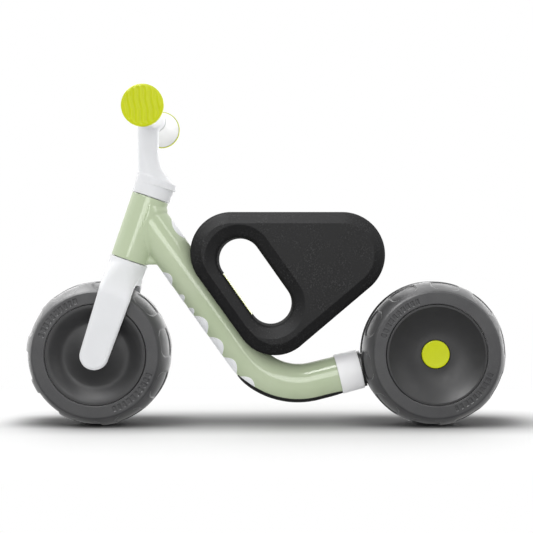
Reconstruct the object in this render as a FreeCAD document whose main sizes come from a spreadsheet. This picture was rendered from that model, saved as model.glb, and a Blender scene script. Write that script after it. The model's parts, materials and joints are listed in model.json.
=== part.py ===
import FreeCAD, Part
import math
import os
import Sketcher

# Balance bike for a toddler: a bent tube frame with a foam seat, a turning fork and stem,
# one wide front wheel and a pair of rear wheels on either side of a central carrier.
# Row frame: origin on the ground at mid wheelbase, +X to the rear, +Y to the rider's right,
# +Z up.  Lengths are millimetres, angles degrees.

DIMENSIONS = [
    # wheels
    ("wheelbase", 364), ("tyre_radius", 78), ("tyre_flat", 11), ("tyre_half_width", 43.5),
    ("shoulder_radius", 68.5), ("shoulder_half_width", 42), ("sidewall_radius", 66.7),
    ("hub_radius", 52), ("hub_half_width", 38), ("hub_wall", 5),
    ("disc_radius", 54), ("disc_gap", 0.5), ("disc_wall", 2.5), ("disc_set_back", 0.3),
    ("trough_radius", 35), ("trough_depth", 11), ("hub_face_radius", 23), ("dish_depth", 13),
    ("dish_floor_radius", 19), ("wheel_gap_half", 9.5), ("web_half", 2.5), ("boss_radius", 12),
    ("axle_radius", 5), ("running_gap", 0.05), ("bush_radius", 8), ("bush_length", 14),
    ("front_axle_half", 52), ("rear_axle_half", 27.5), ("nut_flats_half", 6), ("nut_height", 5),
    ("cap_radius", 15), ("cap_thickness", 3.5), ("cap_rise", 1.5), ("cap_skirt", 0.4),
    ("core_inset", 3.2), ("tyre_chamfer", 2.5), ("disc_lip", 3), ("plate_inset", 0.3),
    ("rear_web_back", 8.5), ("rear_web_front", 3.5), ("rear_bush_inset", 0.1), ("nut_back", 8.2),
    ("front_bush_proud", 0.4), ("spacer_start", 0.7),
    # head tube and steering
    ("head_x", -150.2), ("head_z", 179.7), ("head_angle", 18.9), ("head_length", 72),
    ("head_radius", 20.4), ("head_bore", 17), ("steerer_radius", 12.7), ("steerer_wall", 2),
    ("headset_gap", 0.6), ("headset_bush_length", 16), ("steering_limit", 45),
    ("stop_half_angle", 6), ("stop_inner", 13.6), ("stop_outer", 16.6), ("stop_depth", 4),
    ("stop_gap", 0.4), ("stop_play", 1.5), ("socket_depth", 13), ("bolt_way_radius", 4.1),
    ("long_bolt_radius", 4), ("long_head_radius", 6.5), ("long_head_height", 5),
    ("long_bolt_reach", 15), ("recess_radius", 7), ("recess_depth", 6), ("plug_start", 1),
    ("plug_length", 14),
    # fork
    ("crown_radius", 21.5), ("crown_depth", 24.5), ("shoulder_top", 12), ("fork_half_width", 55),
    ("fork_gap_half", 46), ("fork_shoulder_arc", 34), ("fork_arch_arc", 22),
    ("axle_trail", 2.9), ("axle_drop", 106.5), ("leg_end_radius", 15.4), ("leg_back_step", 0.8),
    ("leg_back_low", 42), ("leg_back_high", 27), ("leg_back_taper", 1.6), ("leg_front_step", 3.5),
    # stem and handlebar
    ("collar_radius", 21.5), ("collar_height", 20), ("neck_radius", 11), ("steerer_in_stem", 18),
    ("bar_x", -124.3), ("bar_z", 334.4), ("bar_half", 113.5), ("bar_radius", 9.5),
    ("bar_bore", 8.3), ("bar_boss_radius", 13.5), ("bar_boss_half", 20), ("grip_radius", 13),
    ("grip_flare_radius", 20.6), ("grip_waist", 62), ("cap_flange_radius", 21.6),
    ("handlebar_half", 120), ("cap_plug_length", 18), ("neck_overlap", 0.5),
    ("neck_top_shift", 3), ("neck_top_flare", 0.5),
    # main tube, measured from the point where its two straight runs would cross
    ("bend_x", 5.1), ("bend_z", 35.7), ("down_length", 238), ("down_angle", 54.47),
    ("tail_length", 101.3), ("tail_angle", 14), ("bend_radius", 71.5), ("tube_radius", 20.4),
    ("tube_wall", 2.2), ("collar_length", 25), ("collar_outer", 21.6), ("collar_taper", 0.6),
    ("soft_gap", 0.3),
    # rear carrier
    ("spigot_length", 22), ("flange_thickness", 3), ("flange_radius", 19.8),
    ("wheel_clearance", 1.3), ("carrier_half_width", 8), ("carrier_root_half", 17),
    ("carrier_boss_radius", 14), ("carrier_boss_half", 9.1), ("spigot_play", 0.1),
    ("carrier_tip_inset", 1),
    # guard under the bend
    ("guard_thickness", 2.6), ("guard_half_width", 11), ("guard_front_angle", 46),
    ("guard_rear_x", 82), ("guard_side", 7),
    # seat
    ("seat_half_width", 40), ("seat_edge", 11), ("seat_front_x", -37.7), ("seat_front_z", 187),
    ("seat_front_radius", 44), ("seat_rear_x", 82.1), ("seat_rear_z", 185),
    ("seat_rear_radius", 46), ("seat_low_x", 9.6), ("seat_low_z", 119.7), ("seat_low_radius", 43),
    ("slot_top_x", -29.1), ("slot_top_z", 180.1), ("slot_low_x", 5.1), ("slot_low_z", 131.7),
    ("slot_radius", 23), ("trim_thickness", 1.2), ("trim_half_width", 24),
    ("trim_half_length", 27), ("bracket_start", 70), ("bracket_length", 90),
    ("bracket_wall", 3), ("bracket_half_angle", 24), ("bolt_radius", 2.5), ("bolt_length", 14),
    ("bolt_head_radius", 4.5), ("bolt_head_height", 2.6),
]

SIDES = (("left", 90), ("right", -90))      # turn about +X that sends local +Z outwards
BOLT_SHARES = (("upper", 0.22), ("lower", 0.78))    # each seat bolt's place along the bracket
# the stem's shoulder above its collar: rise, shift back, and radius over the neck's own
NECK_STATIONS = ((2.5, -4.8, 7), (5.5, -7.9, 4.2), (11, -11.6, 2), (18, -14.8, 1), (38, -21.7, 0.8))
NECK_START_SHIFT = -0.4
ARC_SLACK = 0.01        # keeps a half-round end's arc just flatter than its chord allows
PARTS_FOLDER = "parts"

doc = FreeCAD.newDocument("balance_bike")
sheet = doc.addObject("Spreadsheet::Sheet", "dims")
for row, (alias, amount) in enumerate(DIMENSIONS, start=1):
    sheet.set(f"A{row}", alias)
    sheet.set(f"B{row}", str(amount))
    sheet.setAlias(f"B{row}", alias)
doc.recompute()


class Size(float):
    """A number that remembers the spreadsheet expression that gives it."""

    def __new__(cls, value, text):
        size = float.__new__(cls, value)
        size.text = text
        return size

    def joined(self, sign, other, value, swapped=False):
        other_text = other.text if isinstance(other, Size) else repr(float(other))
        first, second = (other_text, self.text) if swapped else (self.text, other_text)
        return Size(value, f"({first} {sign} {second})")

    def __add__(self, other):
        return self.joined("+", other, float(self) + float(other))

    def __radd__(self, other):
        return self.joined("+", other, float(other) + float(self), True)

    def __sub__(self, other):
        return self.joined("-", other, float(self) - float(other))

    def __rsub__(self, other):
        return self.joined("-", other, float(other) - float(self), True)

    def __mul__(self, other):
        return self.joined("*", other, float(self) * float(other))

    def __rmul__(self, other):
        return self.joined("*", other, float(other) * float(self), True)

    def __truediv__(self, other):
        return self.joined("/", other, float(self) / float(other))

    def __neg__(self):
        return Size(-float(self), f"(-{self.text})")


def size(alias):
    """The named cell of the sheet."""
    return Size(float(sheet.get(alias)), f"dims.{alias}")


def number(value):
    """A plain number as a size."""
    return value if isinstance(value, Size) else Size(value, repr(float(value)))


def cosine(angle):
    return Size(math.cos(math.radians(angle)), f"cos({angle.text})")


def sine(angle):
    return Size(math.sin(math.radians(angle)), f"sin({angle.text})")


# ---------------------------------------------------------------- building helpers

def place(thing, x=0.0, y=0.0, z=0.0, axis=(0, 1, 0), turn=0.0):
    """Put an object at x, y, z, turned about an axis; sizes stay bound to the sheet."""
    thing.Placement = FreeCAD.Placement(FreeCAD.Vector(x, y, z),
                                        FreeCAD.Rotation(FreeCAD.Vector(*axis), float(turn)))
    for name, value in (("Base.x", x), ("Base.y", y), ("Base.z", z), ("Rotation.Angle", turn)):
        if isinstance(value, Size):
            thing.setExpression("Placement." + name, value.text)
    return thing


def new_body(label):
    part = doc.addObject("PartDesign::Body", label)
    part.Label = label
    return part


def at_bend(label):
    """A body whose origin is the crossing point of the main tube's straight runs."""
    return place(new_body(label), x=size("bend_x"), z=size("bend_z"))


def at_head(label):
    """A body whose +Z is the steering axis, with its origin at the head tube's lower end."""
    return place(new_body(label), x=size("head_x"), z=size("head_z"), turn=size("head_angle"))


def at_wheel(label, end, turn):
    """A body at a wheel centre whose +Z points outwards along the axle."""
    part = place(new_body(label), x=size("wheelbase") * (0.5 * end), z=size("tyre_radius"))
    part.Placement = FreeCAD.Placement(part.Placement.Base,
                                       FreeCAD.Rotation(FreeCAD.Vector(1, 0, 0), turn))
    return part


def sketch_on(owner, name, role, x=0.0, z=0.0, turn=0.0):
    """A sketch on an origin plane, moved in the XZ plane and turned about Y when asked."""
    sketch = owner.newObject("Sketcher::SketchObject", name)
    plane = [item for item in owner.Origin.OriginFeatures if item.Role == role][0]
    sketch.AttachmentSupport = [(plane, "")]
    sketch.MapMode = "FlatFace"
    sketch.AttachmentOffset = FreeCAD.Placement(
        FreeCAD.Vector(x, 0, z), FreeCAD.Rotation(FreeCAD.Vector(0, 1, 0), float(turn)))
    for part, value in (("Base.x", x), ("Base.z", z), ("Rotation.Angle", turn)):
        if isinstance(value, Size):
            sketch.setExpression("AttachmentOffset." + part, value.text)
    return sketch


def constrain(sketch, kind, *where):
    """Add a dimension whose last argument is a size, bound to the sheet."""
    value = number(where[-1])
    index = sketch.addConstraint(Sketcher.Constraint(kind, *where[:-1], float(value)))
    sketch.setExpression(f".Constraints[{index}]", value.text)


def pin_point(sketch, geometry, end, across, up):
    """Fix a point of the sketch at a distance across and up from its origin."""
    if float(across) == 0:
        sketch.addConstraint(Sketcher.Constraint("PointOnObject", geometry, end, -2))
    else:
        constrain(sketch, "DistanceX", -1, 1, geometry, end, across)
    if float(up) == 0:
        sketch.addConstraint(Sketcher.Constraint("PointOnObject", geometry, end, -1))
    else:
        constrain(sketch, "DistanceY", -1, 1, geometry, end, up)


def circle(sketch, radius, across=0.0, up=0.0):
    index = sketch.addGeometry(Part.Circle(FreeCAD.Vector(across, up, 0),
                                           FreeCAD.Vector(0, 0, 1), float(radius)))
    pin_point(sketch, index, 3, across, up)
    constrain(sketch, "Radius", index, radius)
    return sketch


def arc_between(first, second, radius):
    """Arc from first to second; a positive radius runs anticlockwise, a negative clockwise."""
    across = second - first
    half = across.Length / 2
    side = FreeCAD.Vector(-across.y, across.x, 0).normalize() * math.copysign(1, radius)
    centre = first + across * 0.5 + side * math.sqrt(radius * radius - half * half)
    begin, end = (first, second) if radius > 0 else (second, first)
    angles = [math.atan2(p.y - centre.y, p.x - centre.x) for p in (begin, end)]
    round_edge = Part.Circle(centre, FreeCAD.Vector(0, 0, 1), abs(float(radius)))
    return Part.ArcOfCircle(round_edge, angles[0], angles[1])


def outline(sketch, corners):
    """Closed outline through (across, up) corners; a third value bends the side that ends there."""
    places = [FreeCAD.Vector(corner[0], corner[1], 0) for corner in corners]
    ends = []
    for index, corner in enumerate(corners):
        start = places[index - 1]
        if len(corner) == 2:
            sketch.addGeometry(Part.LineSegment(start, places[index]))
            ends.append((1, 2))
        else:
            sketch.addGeometry(arc_between(start, places[index], corner[2]))
            ends.append((1, 2) if corner[2] > 0 else (2, 1))
    for index, corner in enumerate(corners):
        following = (index + 1) % len(corners)
        sketch.addConstraint(Sketcher.Constraint("Coincident", index, ends[index][1],
                                                 following, ends[following][0]))
        pin_point(sketch, index, ends[index][1], corner[0], corner[1])
        if len(corner) == 3:
            constrain(sketch, "Radius", index, corner[2] if corner[2] > 0 else -corner[2])
    return sketch


def belt(sketch, rounds):
    """Outline that wraps (across, up, radius) circles, given anticlockwise, like a belt."""
    count = len(rounds)
    middles = [FreeCAD.Vector(across, up, 0) for across, up, _ in rounds]
    runs = []
    for index in range(count):
        following = (index + 1) % count
        along = middles[following] - middles[index]
        lean = (rounds[index][2] - rounds[following][2]) / along.Length
        along.normalize()
        out = FreeCAD.Vector(along.y, -along.x, 0) * math.sqrt(1 - lean * lean) + along * float(lean)
        runs.append((middles[index] + out * float(rounds[index][2]),
                     middles[following] + out * float(rounds[following][2])))
        sketch.addGeometry(Part.LineSegment(*runs[-1]))
    for index in range(count):
        begin, end = runs[index - 1][1] - middles[index], runs[index][0] - middles[index]
        edge = Part.Circle(middles[index], FreeCAD.Vector(0, 0, 1), float(rounds[index][2]))
        sketch.addGeometry(Part.ArcOfCircle(edge, math.atan2(begin.y, begin.x),
                                            math.atan2(end.y, end.x)))
    for index, (across, up, radius) in enumerate(rounds):
        arc = count + index
        pin_point(sketch, arc, 3, across, up)
        constrain(sketch, "Radius", arc, radius)
        sketch.addConstraint(Sketcher.Constraint("Tangent", arc, 2, index, 1))
        sketch.addConstraint(Sketcher.Constraint("Tangent", arc, 1, (index - 1) % count, 2))
    return sketch


def radians_size(turn):
    """A direction in degrees as the radians that a new angle dimension takes."""
    return Size(math.radians(turn), f"({turn.text}) * 1deg")


def sector(sketch, inner, outer, half_angle, middle=180.0):
    """Ring sector about the sketch's origin, centred on the middle direction."""
    low, high = middle - half_angle, middle + half_angle
    corners = [FreeCAD.Vector(radius * math.cos(math.radians(turn)),
                              radius * math.sin(math.radians(turn)), 0)
               for radius, turn in ((inner, low), (outer, low), (outer, high), (inner, high))]
    for radius in (inner, outer):
        edge = Part.Circle(FreeCAD.Vector(0, 0, 0), FreeCAD.Vector(0, 0, 1), float(radius))
        arc = sketch.addGeometry(Part.ArcOfCircle(edge, math.radians(low), math.radians(high)))
        sketch.addConstraint(Sketcher.Constraint("Coincident", arc, 3, -1, 1))
        constrain(sketch, "Radius", arc, radius)
    for end, (first, second) in ((1, (0, 1)), (2, (3, 2))):
        side = sketch.addGeometry(Part.LineSegment(corners[first], corners[second]))
        sketch.addConstraint(Sketcher.Constraint("Coincident", side, 1, 0, end))
        sketch.addConstraint(Sketcher.Constraint("Coincident", side, 2, 1, end))
        sketch.addConstraint(Sketcher.Constraint("PointOnObject", -1, 1, side))
        constrain(sketch, "Angle", side, radians_size(low if end == 1 else high))
    return sketch


def padded(owner, sketch, length, both_ways=False, down=False):
    feature = owner.newObject("PartDesign::Pad", sketch.Name + "_pad")
    feature.Profile = sketch
    feature.SideType = "Symmetric" if both_ways else "One side"
    feature.Reversed = down
    feature.setExpression("Length", number(length).text)
    return feature


def pocketed(owner, sketch, length=None, up=False, both_ways=False):
    """Cut the sketch away: to a length, or through everything both ways when none is given."""
    feature = owner.newObject("PartDesign::Pocket", sketch.Name + "_cut")
    feature.Profile = sketch
    feature.Reversed = up
    if length is None or both_ways:
        feature.SideType = "Symmetric"
    if length is None:
        feature.Type = "ThroughAll"
    else:
        feature.setExpression("Length", number(length).text)
    return feature


def turned(owner, corners, name="profile"):
    """Revolve a closed outline of (radius, height) corners about the body's own Z axis."""
    sketch = outline(sketch_on(owner, owner.Name + "_" + name, "XZ_Plane"), corners)
    feature = owner.newObject("PartDesign::Revolution", sketch.Name + "_turn")
    feature.Profile = sketch
    feature.ReferenceAxis = (sketch, ["V_Axis"])
    feature.Angle = 360
    return feature


def ring(inner, outer, low, high):
    """Corners of a plain ring or sleeve; the outline runs anticlockwise."""
    return [(inner, low), (outer, low), (outer, high), (inner, high)]


def rounded(owner, feature, radius, chosen):
    """Round the edges of a feature that the chosen test picks."""
    doc.recompute()
    names = [f"Edge{index}" for index, edge in enumerate(feature.Shape.Edges, start=1)
             if chosen(edge)]
    fillet = owner.newObject("PartDesign::Fillet", feature.Name + "_round")
    fillet.Base = (feature, names)
    fillet.setExpression("Radius", radius.text)
    return fillet


# ---------------------------------------------------------------- main tube route

def tube_start():
    """Where the main tube's centre line meets the steering axis."""
    return -size("down_length") * cosine(size("down_angle")), size("down_length") * sine(size("down_angle"))


def tube_end():
    return size("tail_length") * cosine(size("tail_angle")), size("tail_length") * sine(size("tail_angle"))


def tube_route(owner, label):
    """Centre line of the main tube: down run, bend and tail run, tangent to each other."""
    sketch = sketch_on(owner, label + "_route", "XZ_Plane")
    start, end = FreeCAD.Vector(*tube_start()), FreeCAD.Vector(*tube_end())
    down, tail = start * (-1 / start.Length), end * (1 / end.Length)
    turn = math.radians(size("down_angle") + size("tail_angle"))
    setback = size("bend_radius") * math.tan(turn / 2)
    first, last = down * -float(setback), tail * float(setback)
    middle = first + FreeCAD.Vector(-down.y, down.x, 0) * float(size("bend_radius"))
    sketch.addGeometry(Part.LineSegment(start, first))
    angles = [math.atan2(p.y - middle.y, p.x - middle.x) for p in (first, last)]
    bend = Part.Circle(middle, FreeCAD.Vector(0, 0, 1), float(size("bend_radius")))
    sketch.addGeometry(Part.ArcOfCircle(bend, angles[0], angles[1]))
    sketch.addGeometry(Part.LineSegment(last, end))
    sketch.addConstraint(Sketcher.Constraint("Tangent", 0, 2, 1, 1))
    sketch.addConstraint(Sketcher.Constraint("Tangent", 1, 2, 2, 1))
    pin_point(sketch, 0, 1, *tube_start())
    pin_point(sketch, 2, 2, *tube_end())
    constrain(sketch, "Radius", 1, size("bend_radius"))
    constrain(sketch, "Angle", 0, radians_size(-size("down_angle")))
    return sketch


def tube_pipe(owner, kind, label, radius):
    """Sweep a circle along the main tube's route, adding or removing material."""
    start = tube_start()
    section = circle(sketch_on(owner, label + "_section", "XY_Plane", x=start[0], z=start[1],
                               turn=size("down_angle") + 90), radius)
    route = tube_route(owner, label)
    doc.recompute()
    pipe = owner.newObject("PartDesign::" + kind, label)
    pipe.Profile = section
    pipe.Spine = (route, ["Edge1", "Edge2", "Edge3"])
    return pipe


# ---------------------------------------------------------------- frame body

def frame_tube():
    part = at_bend("frame_tube")
    tube_pipe(part, "AdditivePipe", "tube_wall", size("tube_radius"))
    tube_pipe(part, "SubtractivePipe", "tube_hollow", size("tube_radius") - size("tube_wall"))
    head = {"x": size("head_x") - size("bend_x"), "z": size("head_z") - size("bend_z"),
            "turn": size("head_angle")}
    padded(part, circle(sketch_on(part, "head_tube", "XY_Plane", **head), size("head_radius")),
           size("head_length"))
    pocketed(part, circle(sketch_on(part, "head_bore", "XY_Plane", **head), size("head_bore")))
    return part


def tail_frame(label, back=0.0):
    """A body at the rear end of the main tube whose +Z runs on along the tube."""
    reach = size("tail_length") - back
    return place(new_body(label), x=size("bend_x") + reach * cosine(size("tail_angle")),
                 z=size("bend_z") + reach * sine(size("tail_angle")), turn=90 - size("tail_angle"))


def tail_collar():
    part = tail_frame("tail_collar", size("collar_length"))
    length, slim = size("collar_length"), size("collar_outer") - size("collar_taper")
    turned(part, [(size("tube_radius"), 0), (size("collar_outer"), 0), (slim, length),
                  (size("tube_radius"), length)])
    return part


def axle_from_tail():
    """The rear axle's place in the tail frame: across (local X) and along (local Z)."""
    tail = size("tail_angle")
    right = size("wheelbase") / 2 - size("bend_x") - size("tail_length") * cosine(tail)
    rise = size("tyre_radius") - size("bend_z") - size("tail_length") * sine(tail)
    return right * sine(tail) - rise * cosine(tail), right * cosine(tail) + rise * sine(tail)


def rear_carrier():
    part = tail_frame("rear_carrier")
    across, along = axle_from_tail()
    fit = size("tube_radius") - size("tube_wall") - size("spigot_play")
    padded(part, circle(sketch_on(part, "spigot", "XY_Plane"), fit), size("spigot_length"), down=True)
    padded(part, circle(sketch_on(part, "flange", "XY_Plane"), size("flange_radius")),
           size("flange_thickness"))
    room = size("tyre_radius") + size("wheel_clearance")
    pocketed(part, circle(sketch_on(part, "tyre_room", "XZ_Plane"), room, across, along))
    root, tip = size("carrier_root_half"), size("carrier_boss_radius") - size("carrier_tip_inset")
    web = outline(sketch_on(part, "web", "XZ_Plane"),
                  [(-root, -size("flange_thickness")), (root, -size("flange_thickness")),
                   (across + tip, along), (across - tip, along)])
    padded(part, web, size("carrier_half_width") * 2, both_ways=True)
    boss = circle(sketch_on(part, "boss", "XZ_Plane"), size("carrier_boss_radius"), across, along)
    padded(part, boss, size("carrier_boss_half") * 2, both_ways=True)
    pocketed(part, circle(sketch_on(part, "axle_bore", "XZ_Plane"), size("axle_radius"), across, along))
    return part


def underside_guard():
    """Strip that follows the underside of the bend, hollowed to sit on the tube."""
    part = at_bend("underside_guard")
    tail, down, bend = size("tail_angle"), size("down_angle"), size("bend_radius")
    outer = size("tube_radius") + size("guard_thickness")
    inner = size("tube_radius") - size("guard_side")
    setback = bend * ((1 - cosine(down + tail)) / sine(down + tail))
    middle = (bend * sine(down) - setback * cosine(down), setback * sine(down) + bend * cosine(down))
    rear = size("guard_rear_x") - size("bend_x")

    def on_bend(depth, lean):
        """Point at a depth under the bend's centre line, leaning forward of straight down."""
        reach = bend + depth
        return middle[0] - reach * sine(lean), middle[1] - reach * cosine(lean)

    def on_tail(depth, x):
        return x, x * (sine(tail) / cosine(tail)) - depth / cosine(tail)

    front = size("guard_front_angle")
    strip = outline(sketch_on(part, "strip", "XZ_Plane"),
                    [on_bend(inner, front), on_bend(outer, front),
                     (*on_bend(outer, -tail), bend + outer), on_tail(outer, rear),
                     on_tail(inner, rear), on_bend(inner, -tail),
                     (*on_bend(inner, front), -(bend + inner))][1:])
    padded(part, strip, size("guard_half_width") * 2, both_ways=True)
    tube_pipe(part, "SubtractivePipe", "guard_hollow", size("tube_radius"))
    return part


def seat_point(name):
    return (size(name + "_x") - size("bend_x"), size(name + "_z") - size("bend_z"))


def seat_frame(label, along, out):
    """A body on the main tube: +Z leaves the tube towards the seat, +X runs down the tube."""
    down = size("down_angle")
    start = tube_start()
    x = size("bend_x") + start[0] + along * cosine(down) + out * sine(down)
    z = size("bend_z") + start[1] - along * sine(down) + out * cosine(down)
    return place(new_body(label), x=x, z=z, turn=down)


def bracket_blank():
    """Saddle plate on top of the down run, under the foam."""
    part = place(new_body("bracket_blank"), turn=size("down_angle") + 90,
                 x=size("bend_x") + tube_start()[0] + size("bracket_start") * cosine(size("down_angle")),
                 z=size("bend_z") + tube_start()[1] - size("bracket_start") * sine(size("down_angle")))
    plate = sector(sketch_on(part, "saddle", "XY_Plane"), size("tube_radius"),
                   size("tube_radius") + size("bracket_wall"), size("bracket_half_angle"))
    padded(part, plate, size("bracket_length"))
    return part


def seat_bolt(name, share):
    """One pan-head screw through the bracket into the tube wall."""
    part = seat_frame(name, size("bracket_start") + size("bracket_length") * share,
                      size("tube_radius") + size("bracket_wall"))
    shank, head = size("bolt_radius"), size("bolt_head_radius")
    turned(part, [(0, -size("bolt_length")), (shank, -size("bolt_length")), (shank, 0),
                  (head, 0), (head, size("bolt_head_height")), (0, size("bolt_head_height"))])
    return part


def seat_block():
    """Rounded triangle of foam with the slanted hand slot and softened edges."""
    part = at_bend("seat_block")
    corners = [(*seat_point(name), size(name + "_radius")) for name in ("seat_low", "seat_rear",
                                                                        "seat_front")]
    block = padded(part, belt(sketch_on(part, "seat_outline", "XZ_Plane"), corners),
                   size("seat_half_width") * 2, both_ways=True)
    half = float(size("seat_half_width"))

    def on_side(edge):
        return all(abs(abs(vertex.Y) - half) < 0.01 for vertex in edge.Vertexes)

    rounded(part, block, size("seat_edge"), on_side)
    slot = [(*seat_point(name), size("slot_radius")) for name in ("slot_low", "slot_top")]
    pocketed(part, belt(sketch_on(part, "slot_outline", "XZ_Plane"), slot))
    return part


def slot_direction():
    """The slot's slant in the XZ plane, in degrees below the horizontal."""
    top, low = seat_point("slot_top"), seat_point("slot_low")
    return math.degrees(math.atan2(float(top[1] - low[1]), float(low[0] - top[0])))


def seat_slot_trim():
    """Thin strip let into the slot wall nearest to the main tube."""
    turn = slot_direction()
    top, low = seat_point("slot_top"), seat_point("slot_low")
    part = place(new_body("seat_slot_trim"), x=size("bend_x") + (top[0] + low[0]) / 2,
                 z=size("bend_z") + (top[1] + low[1]) / 2, turn=turn)
    strip = sketch_on(part, "trim_outline", "XY_Plane", z=-size("slot_radius"))
    half_long, half_wide = size("trim_half_length"), size("trim_half_width")
    outline(strip, [(-half_long, -half_wide), (half_long, -half_wide),
                    (half_long, half_wide), (-half_long, half_wide)])
    padded(part, strip, size("trim_thickness"), down=True)
    return part


def joined(label, pieces):
    group = doc.addObject("Part::MultiFuse", label)
    group.Label = label
    group.Shapes = pieces
    return group


def cut(label, base, tool):
    result = doc.addObject("Part::Cut", label)
    result.Label = label
    result.Base = base
    result.Tool = tool
    return result


def seat_parts():
    blank = bracket_blank()
    bolts = joined("seat_bolts", [seat_bolt("bolt_" + name, share) for name, share in BOLT_SHARES])
    trim = seat_slot_trim()
    tube_room = at_bend("tube_room")
    tube_pipe(tube_room, "AdditivePipe", "tube_room_pipe", size("tube_radius") + size("soft_gap"))
    foam = cut("seat_foam", seat_block(), joined("seat_pockets", [tube_room, blank, bolts, trim]))
    return [foam, cut("seat_bracket", blank, bolts), bolts, trim]


def headset_bush(label, height, with_lug):
    """Plain bush for the steerer; the lower one carries the steering stop lug."""
    part = at_head(label)
    inner, outer = size("steerer_radius") + size("running_gap"), size("head_bore")
    turned(part, ring(inner, outer, height, height + size("headset_bush_length")))
    if with_lug:
        lug = sector(sketch_on(part, label + "_lug", "XY_Plane"), size("stop_inner"),
                     size("stop_outer"), size("stop_half_angle"))
        padded(part, lug, size("stop_depth"), down=True)
    return part


# ---------------------------------------------------------------- steering body

def fork():
    part = at_head("fork")
    top = -size("headset_gap")
    crown = circle(sketch_on(part, "crown", "XY_Plane", z=top), size("crown_radius"))
    padded(part, crown, size("crown_depth") + top, down=True)
    trail, drop, end = size("axle_trail"), size("axle_drop"), size("leg_end_radius")
    shoulder, rear = -size("shoulder_top"), size("crown_radius") + size("leg_back_step")
    legs = outline(sketch_on(part, "leg_side", "XZ_Plane"),
                   [(trail - end, -drop), (trail + end, -drop, end + ARC_SLACK),
                    (rear - size("leg_back_taper"), -size("leg_back_low")),
                    (rear, -size("leg_back_high")), (rear, shoulder),
                    (size("leg_front_step") - size("crown_radius"), shoulder)])
    padded(part, legs, size("fork_half_width") * 2, both_ways=True)
    gap, arch, roof = size("fork_gap_half"), size("fork_arch_arc"), -size("crown_depth")
    floor = -drop - end * 2
    inside = outline(sketch_on(part, "arch", "YZ_Plane"),
                     [(-gap, floor), (gap, floor), (gap, roof - arch), (gap - arch, roof, arch),
                      (arch - gap, roof), (-gap, roof - arch, arch)])
    pocketed(part, inside)
    wide, bend = size("fork_half_width"), size("fork_shoulder_arc")
    outside = wide + bend
    for name, side in (("left_shoulder", -1), ("right_shoulder", 1)):
        corner = outline(sketch_on(part, name, "YZ_Plane"),
                         [(wide * side, shoulder - bend, -bend * side),
                          (outside * side, shoulder - bend), (outside * side, shoulder + 1),
                          ((wide - bend) * side, shoulder + 1), ((wide - bend) * side, shoulder)])
        pocketed(part, corner)
    socket = circle(sketch_on(part, "steerer_socket", "XY_Plane", z=top), size("steerer_radius"))
    pocketed(part, socket, size("socket_depth"))
    pocketed(part, circle(sketch_on(part, "bolt_way", "XY_Plane"), size("bolt_way_radius")))
    head_room = circle(sketch_on(part, "bolt_head_room", "XY_Plane", z=-size("crown_depth")),
                       size("recess_radius"))
    pocketed(part, head_room, size("recess_depth"), up=True)
    room, half_turn = size("stop_gap"), size("steering_limit") + size("stop_half_angle")
    groove = sector(sketch_on(part, "stop_groove", "XY_Plane", z=top), size("stop_inner") - room,
                    size("stop_outer") + room, half_turn + size("stop_play"))
    pocketed(part, groove, size("stop_depth") + room)
    axle = circle(sketch_on(part, "axle_socket", "XZ_Plane"), size("axle_radius"), trail, -drop)
    pocketed(part, axle, size("front_axle_half") * 2, both_ways=True)
    return part


def steerer_tube():
    part = at_head("steerer_tube")
    outer = size("steerer_radius")
    low = -size("headset_gap") - size("socket_depth")
    high = size("head_length") + size("headset_gap") + size("steerer_in_stem")
    turned(part, ring(outer - size("steerer_wall"), outer, low, high))
    return part


def steerer_bolt():
    """Long bolt up through the crown; its head sits in the recess under the crown."""
    part = at_head("steerer_bolt")
    seat = size("recess_depth") - size("crown_depth")
    tip = size("head_length") + size("long_bolt_reach")
    under, head, shank = seat - size("long_head_height"), size("long_head_radius"), size("long_bolt_radius")
    turned(part, [(0, under), (head, under), (head, seat), (shank, seat), (shank, tip), (0, tip)])
    return part


def steerer_plug():
    """Threaded plug inside the steerer that the long bolt pulls on."""
    part = at_head("steerer_plug")
    low = size("head_length") + size("plug_start")
    turned(part, ring(size("long_bolt_radius"), size("steerer_radius") - size("steerer_wall"), low,
                      low + size("plug_length")))
    return part


def bar_in_head():
    """The handlebar axis in the head frame: across (local X) and up (local Z)."""
    lean = size("head_angle")
    right, rise = size("bar_x") - size("head_x"), size("bar_z") - size("head_z")
    return right * cosine(lean) - rise * sine(lean), right * sine(lean) + rise * cosine(lean)


def stem():
    """Collar on the head tube, shoulder, slim upright neck and the boss for the bar."""
    part = at_head("stem")
    low = size("head_length") + size("headset_gap")
    padded(part, circle(sketch_on(part, "stem_collar", "XY_Plane", z=low), size("collar_radius")),
           size("collar_height"))
    across, up = bar_in_head()
    neck, root = size("neck_radius"), low + size("collar_height") - size("neck_overlap")
    sections = [circle(sketch_on(part, "neck_root", "XY_Plane", x=NECK_START_SHIFT, z=root),
                       size("collar_radius"))]
    for index, (rise, shift, extra) in enumerate(NECK_STATIONS, start=1):
        station = sketch_on(part, f"neck_{index}", "XY_Plane", x=shift, z=root + rise)
        sections.append(circle(station, neck + extra))
    neck_top = sketch_on(part, "neck_top", "XY_Plane", x=across - size("neck_top_shift"), z=up)
    sections.append(circle(neck_top, neck + size("neck_top_flare")))
    doc.recompute()
    loft = part.newObject("PartDesign::AdditiveLoft", "neck")
    loft.Profile = sections[0]
    loft.Sections = [(section, [""]) for section in sections[1:]]
    loft.Ruled = True
    boss = circle(sketch_on(part, "bar_boss", "XZ_Plane"), size("bar_boss_radius"), across, up)
    padded(part, boss, size("bar_boss_half") * 2, both_ways=True)
    pocketed(part, circle(sketch_on(part, "bar_bore", "XZ_Plane"), size("bar_radius"), across, up))
    socket = circle(sketch_on(part, "stem_socket", "XY_Plane", z=low), size("steerer_radius"))
    pocketed(part, socket, size("steerer_in_stem"), up=True)
    return part


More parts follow.
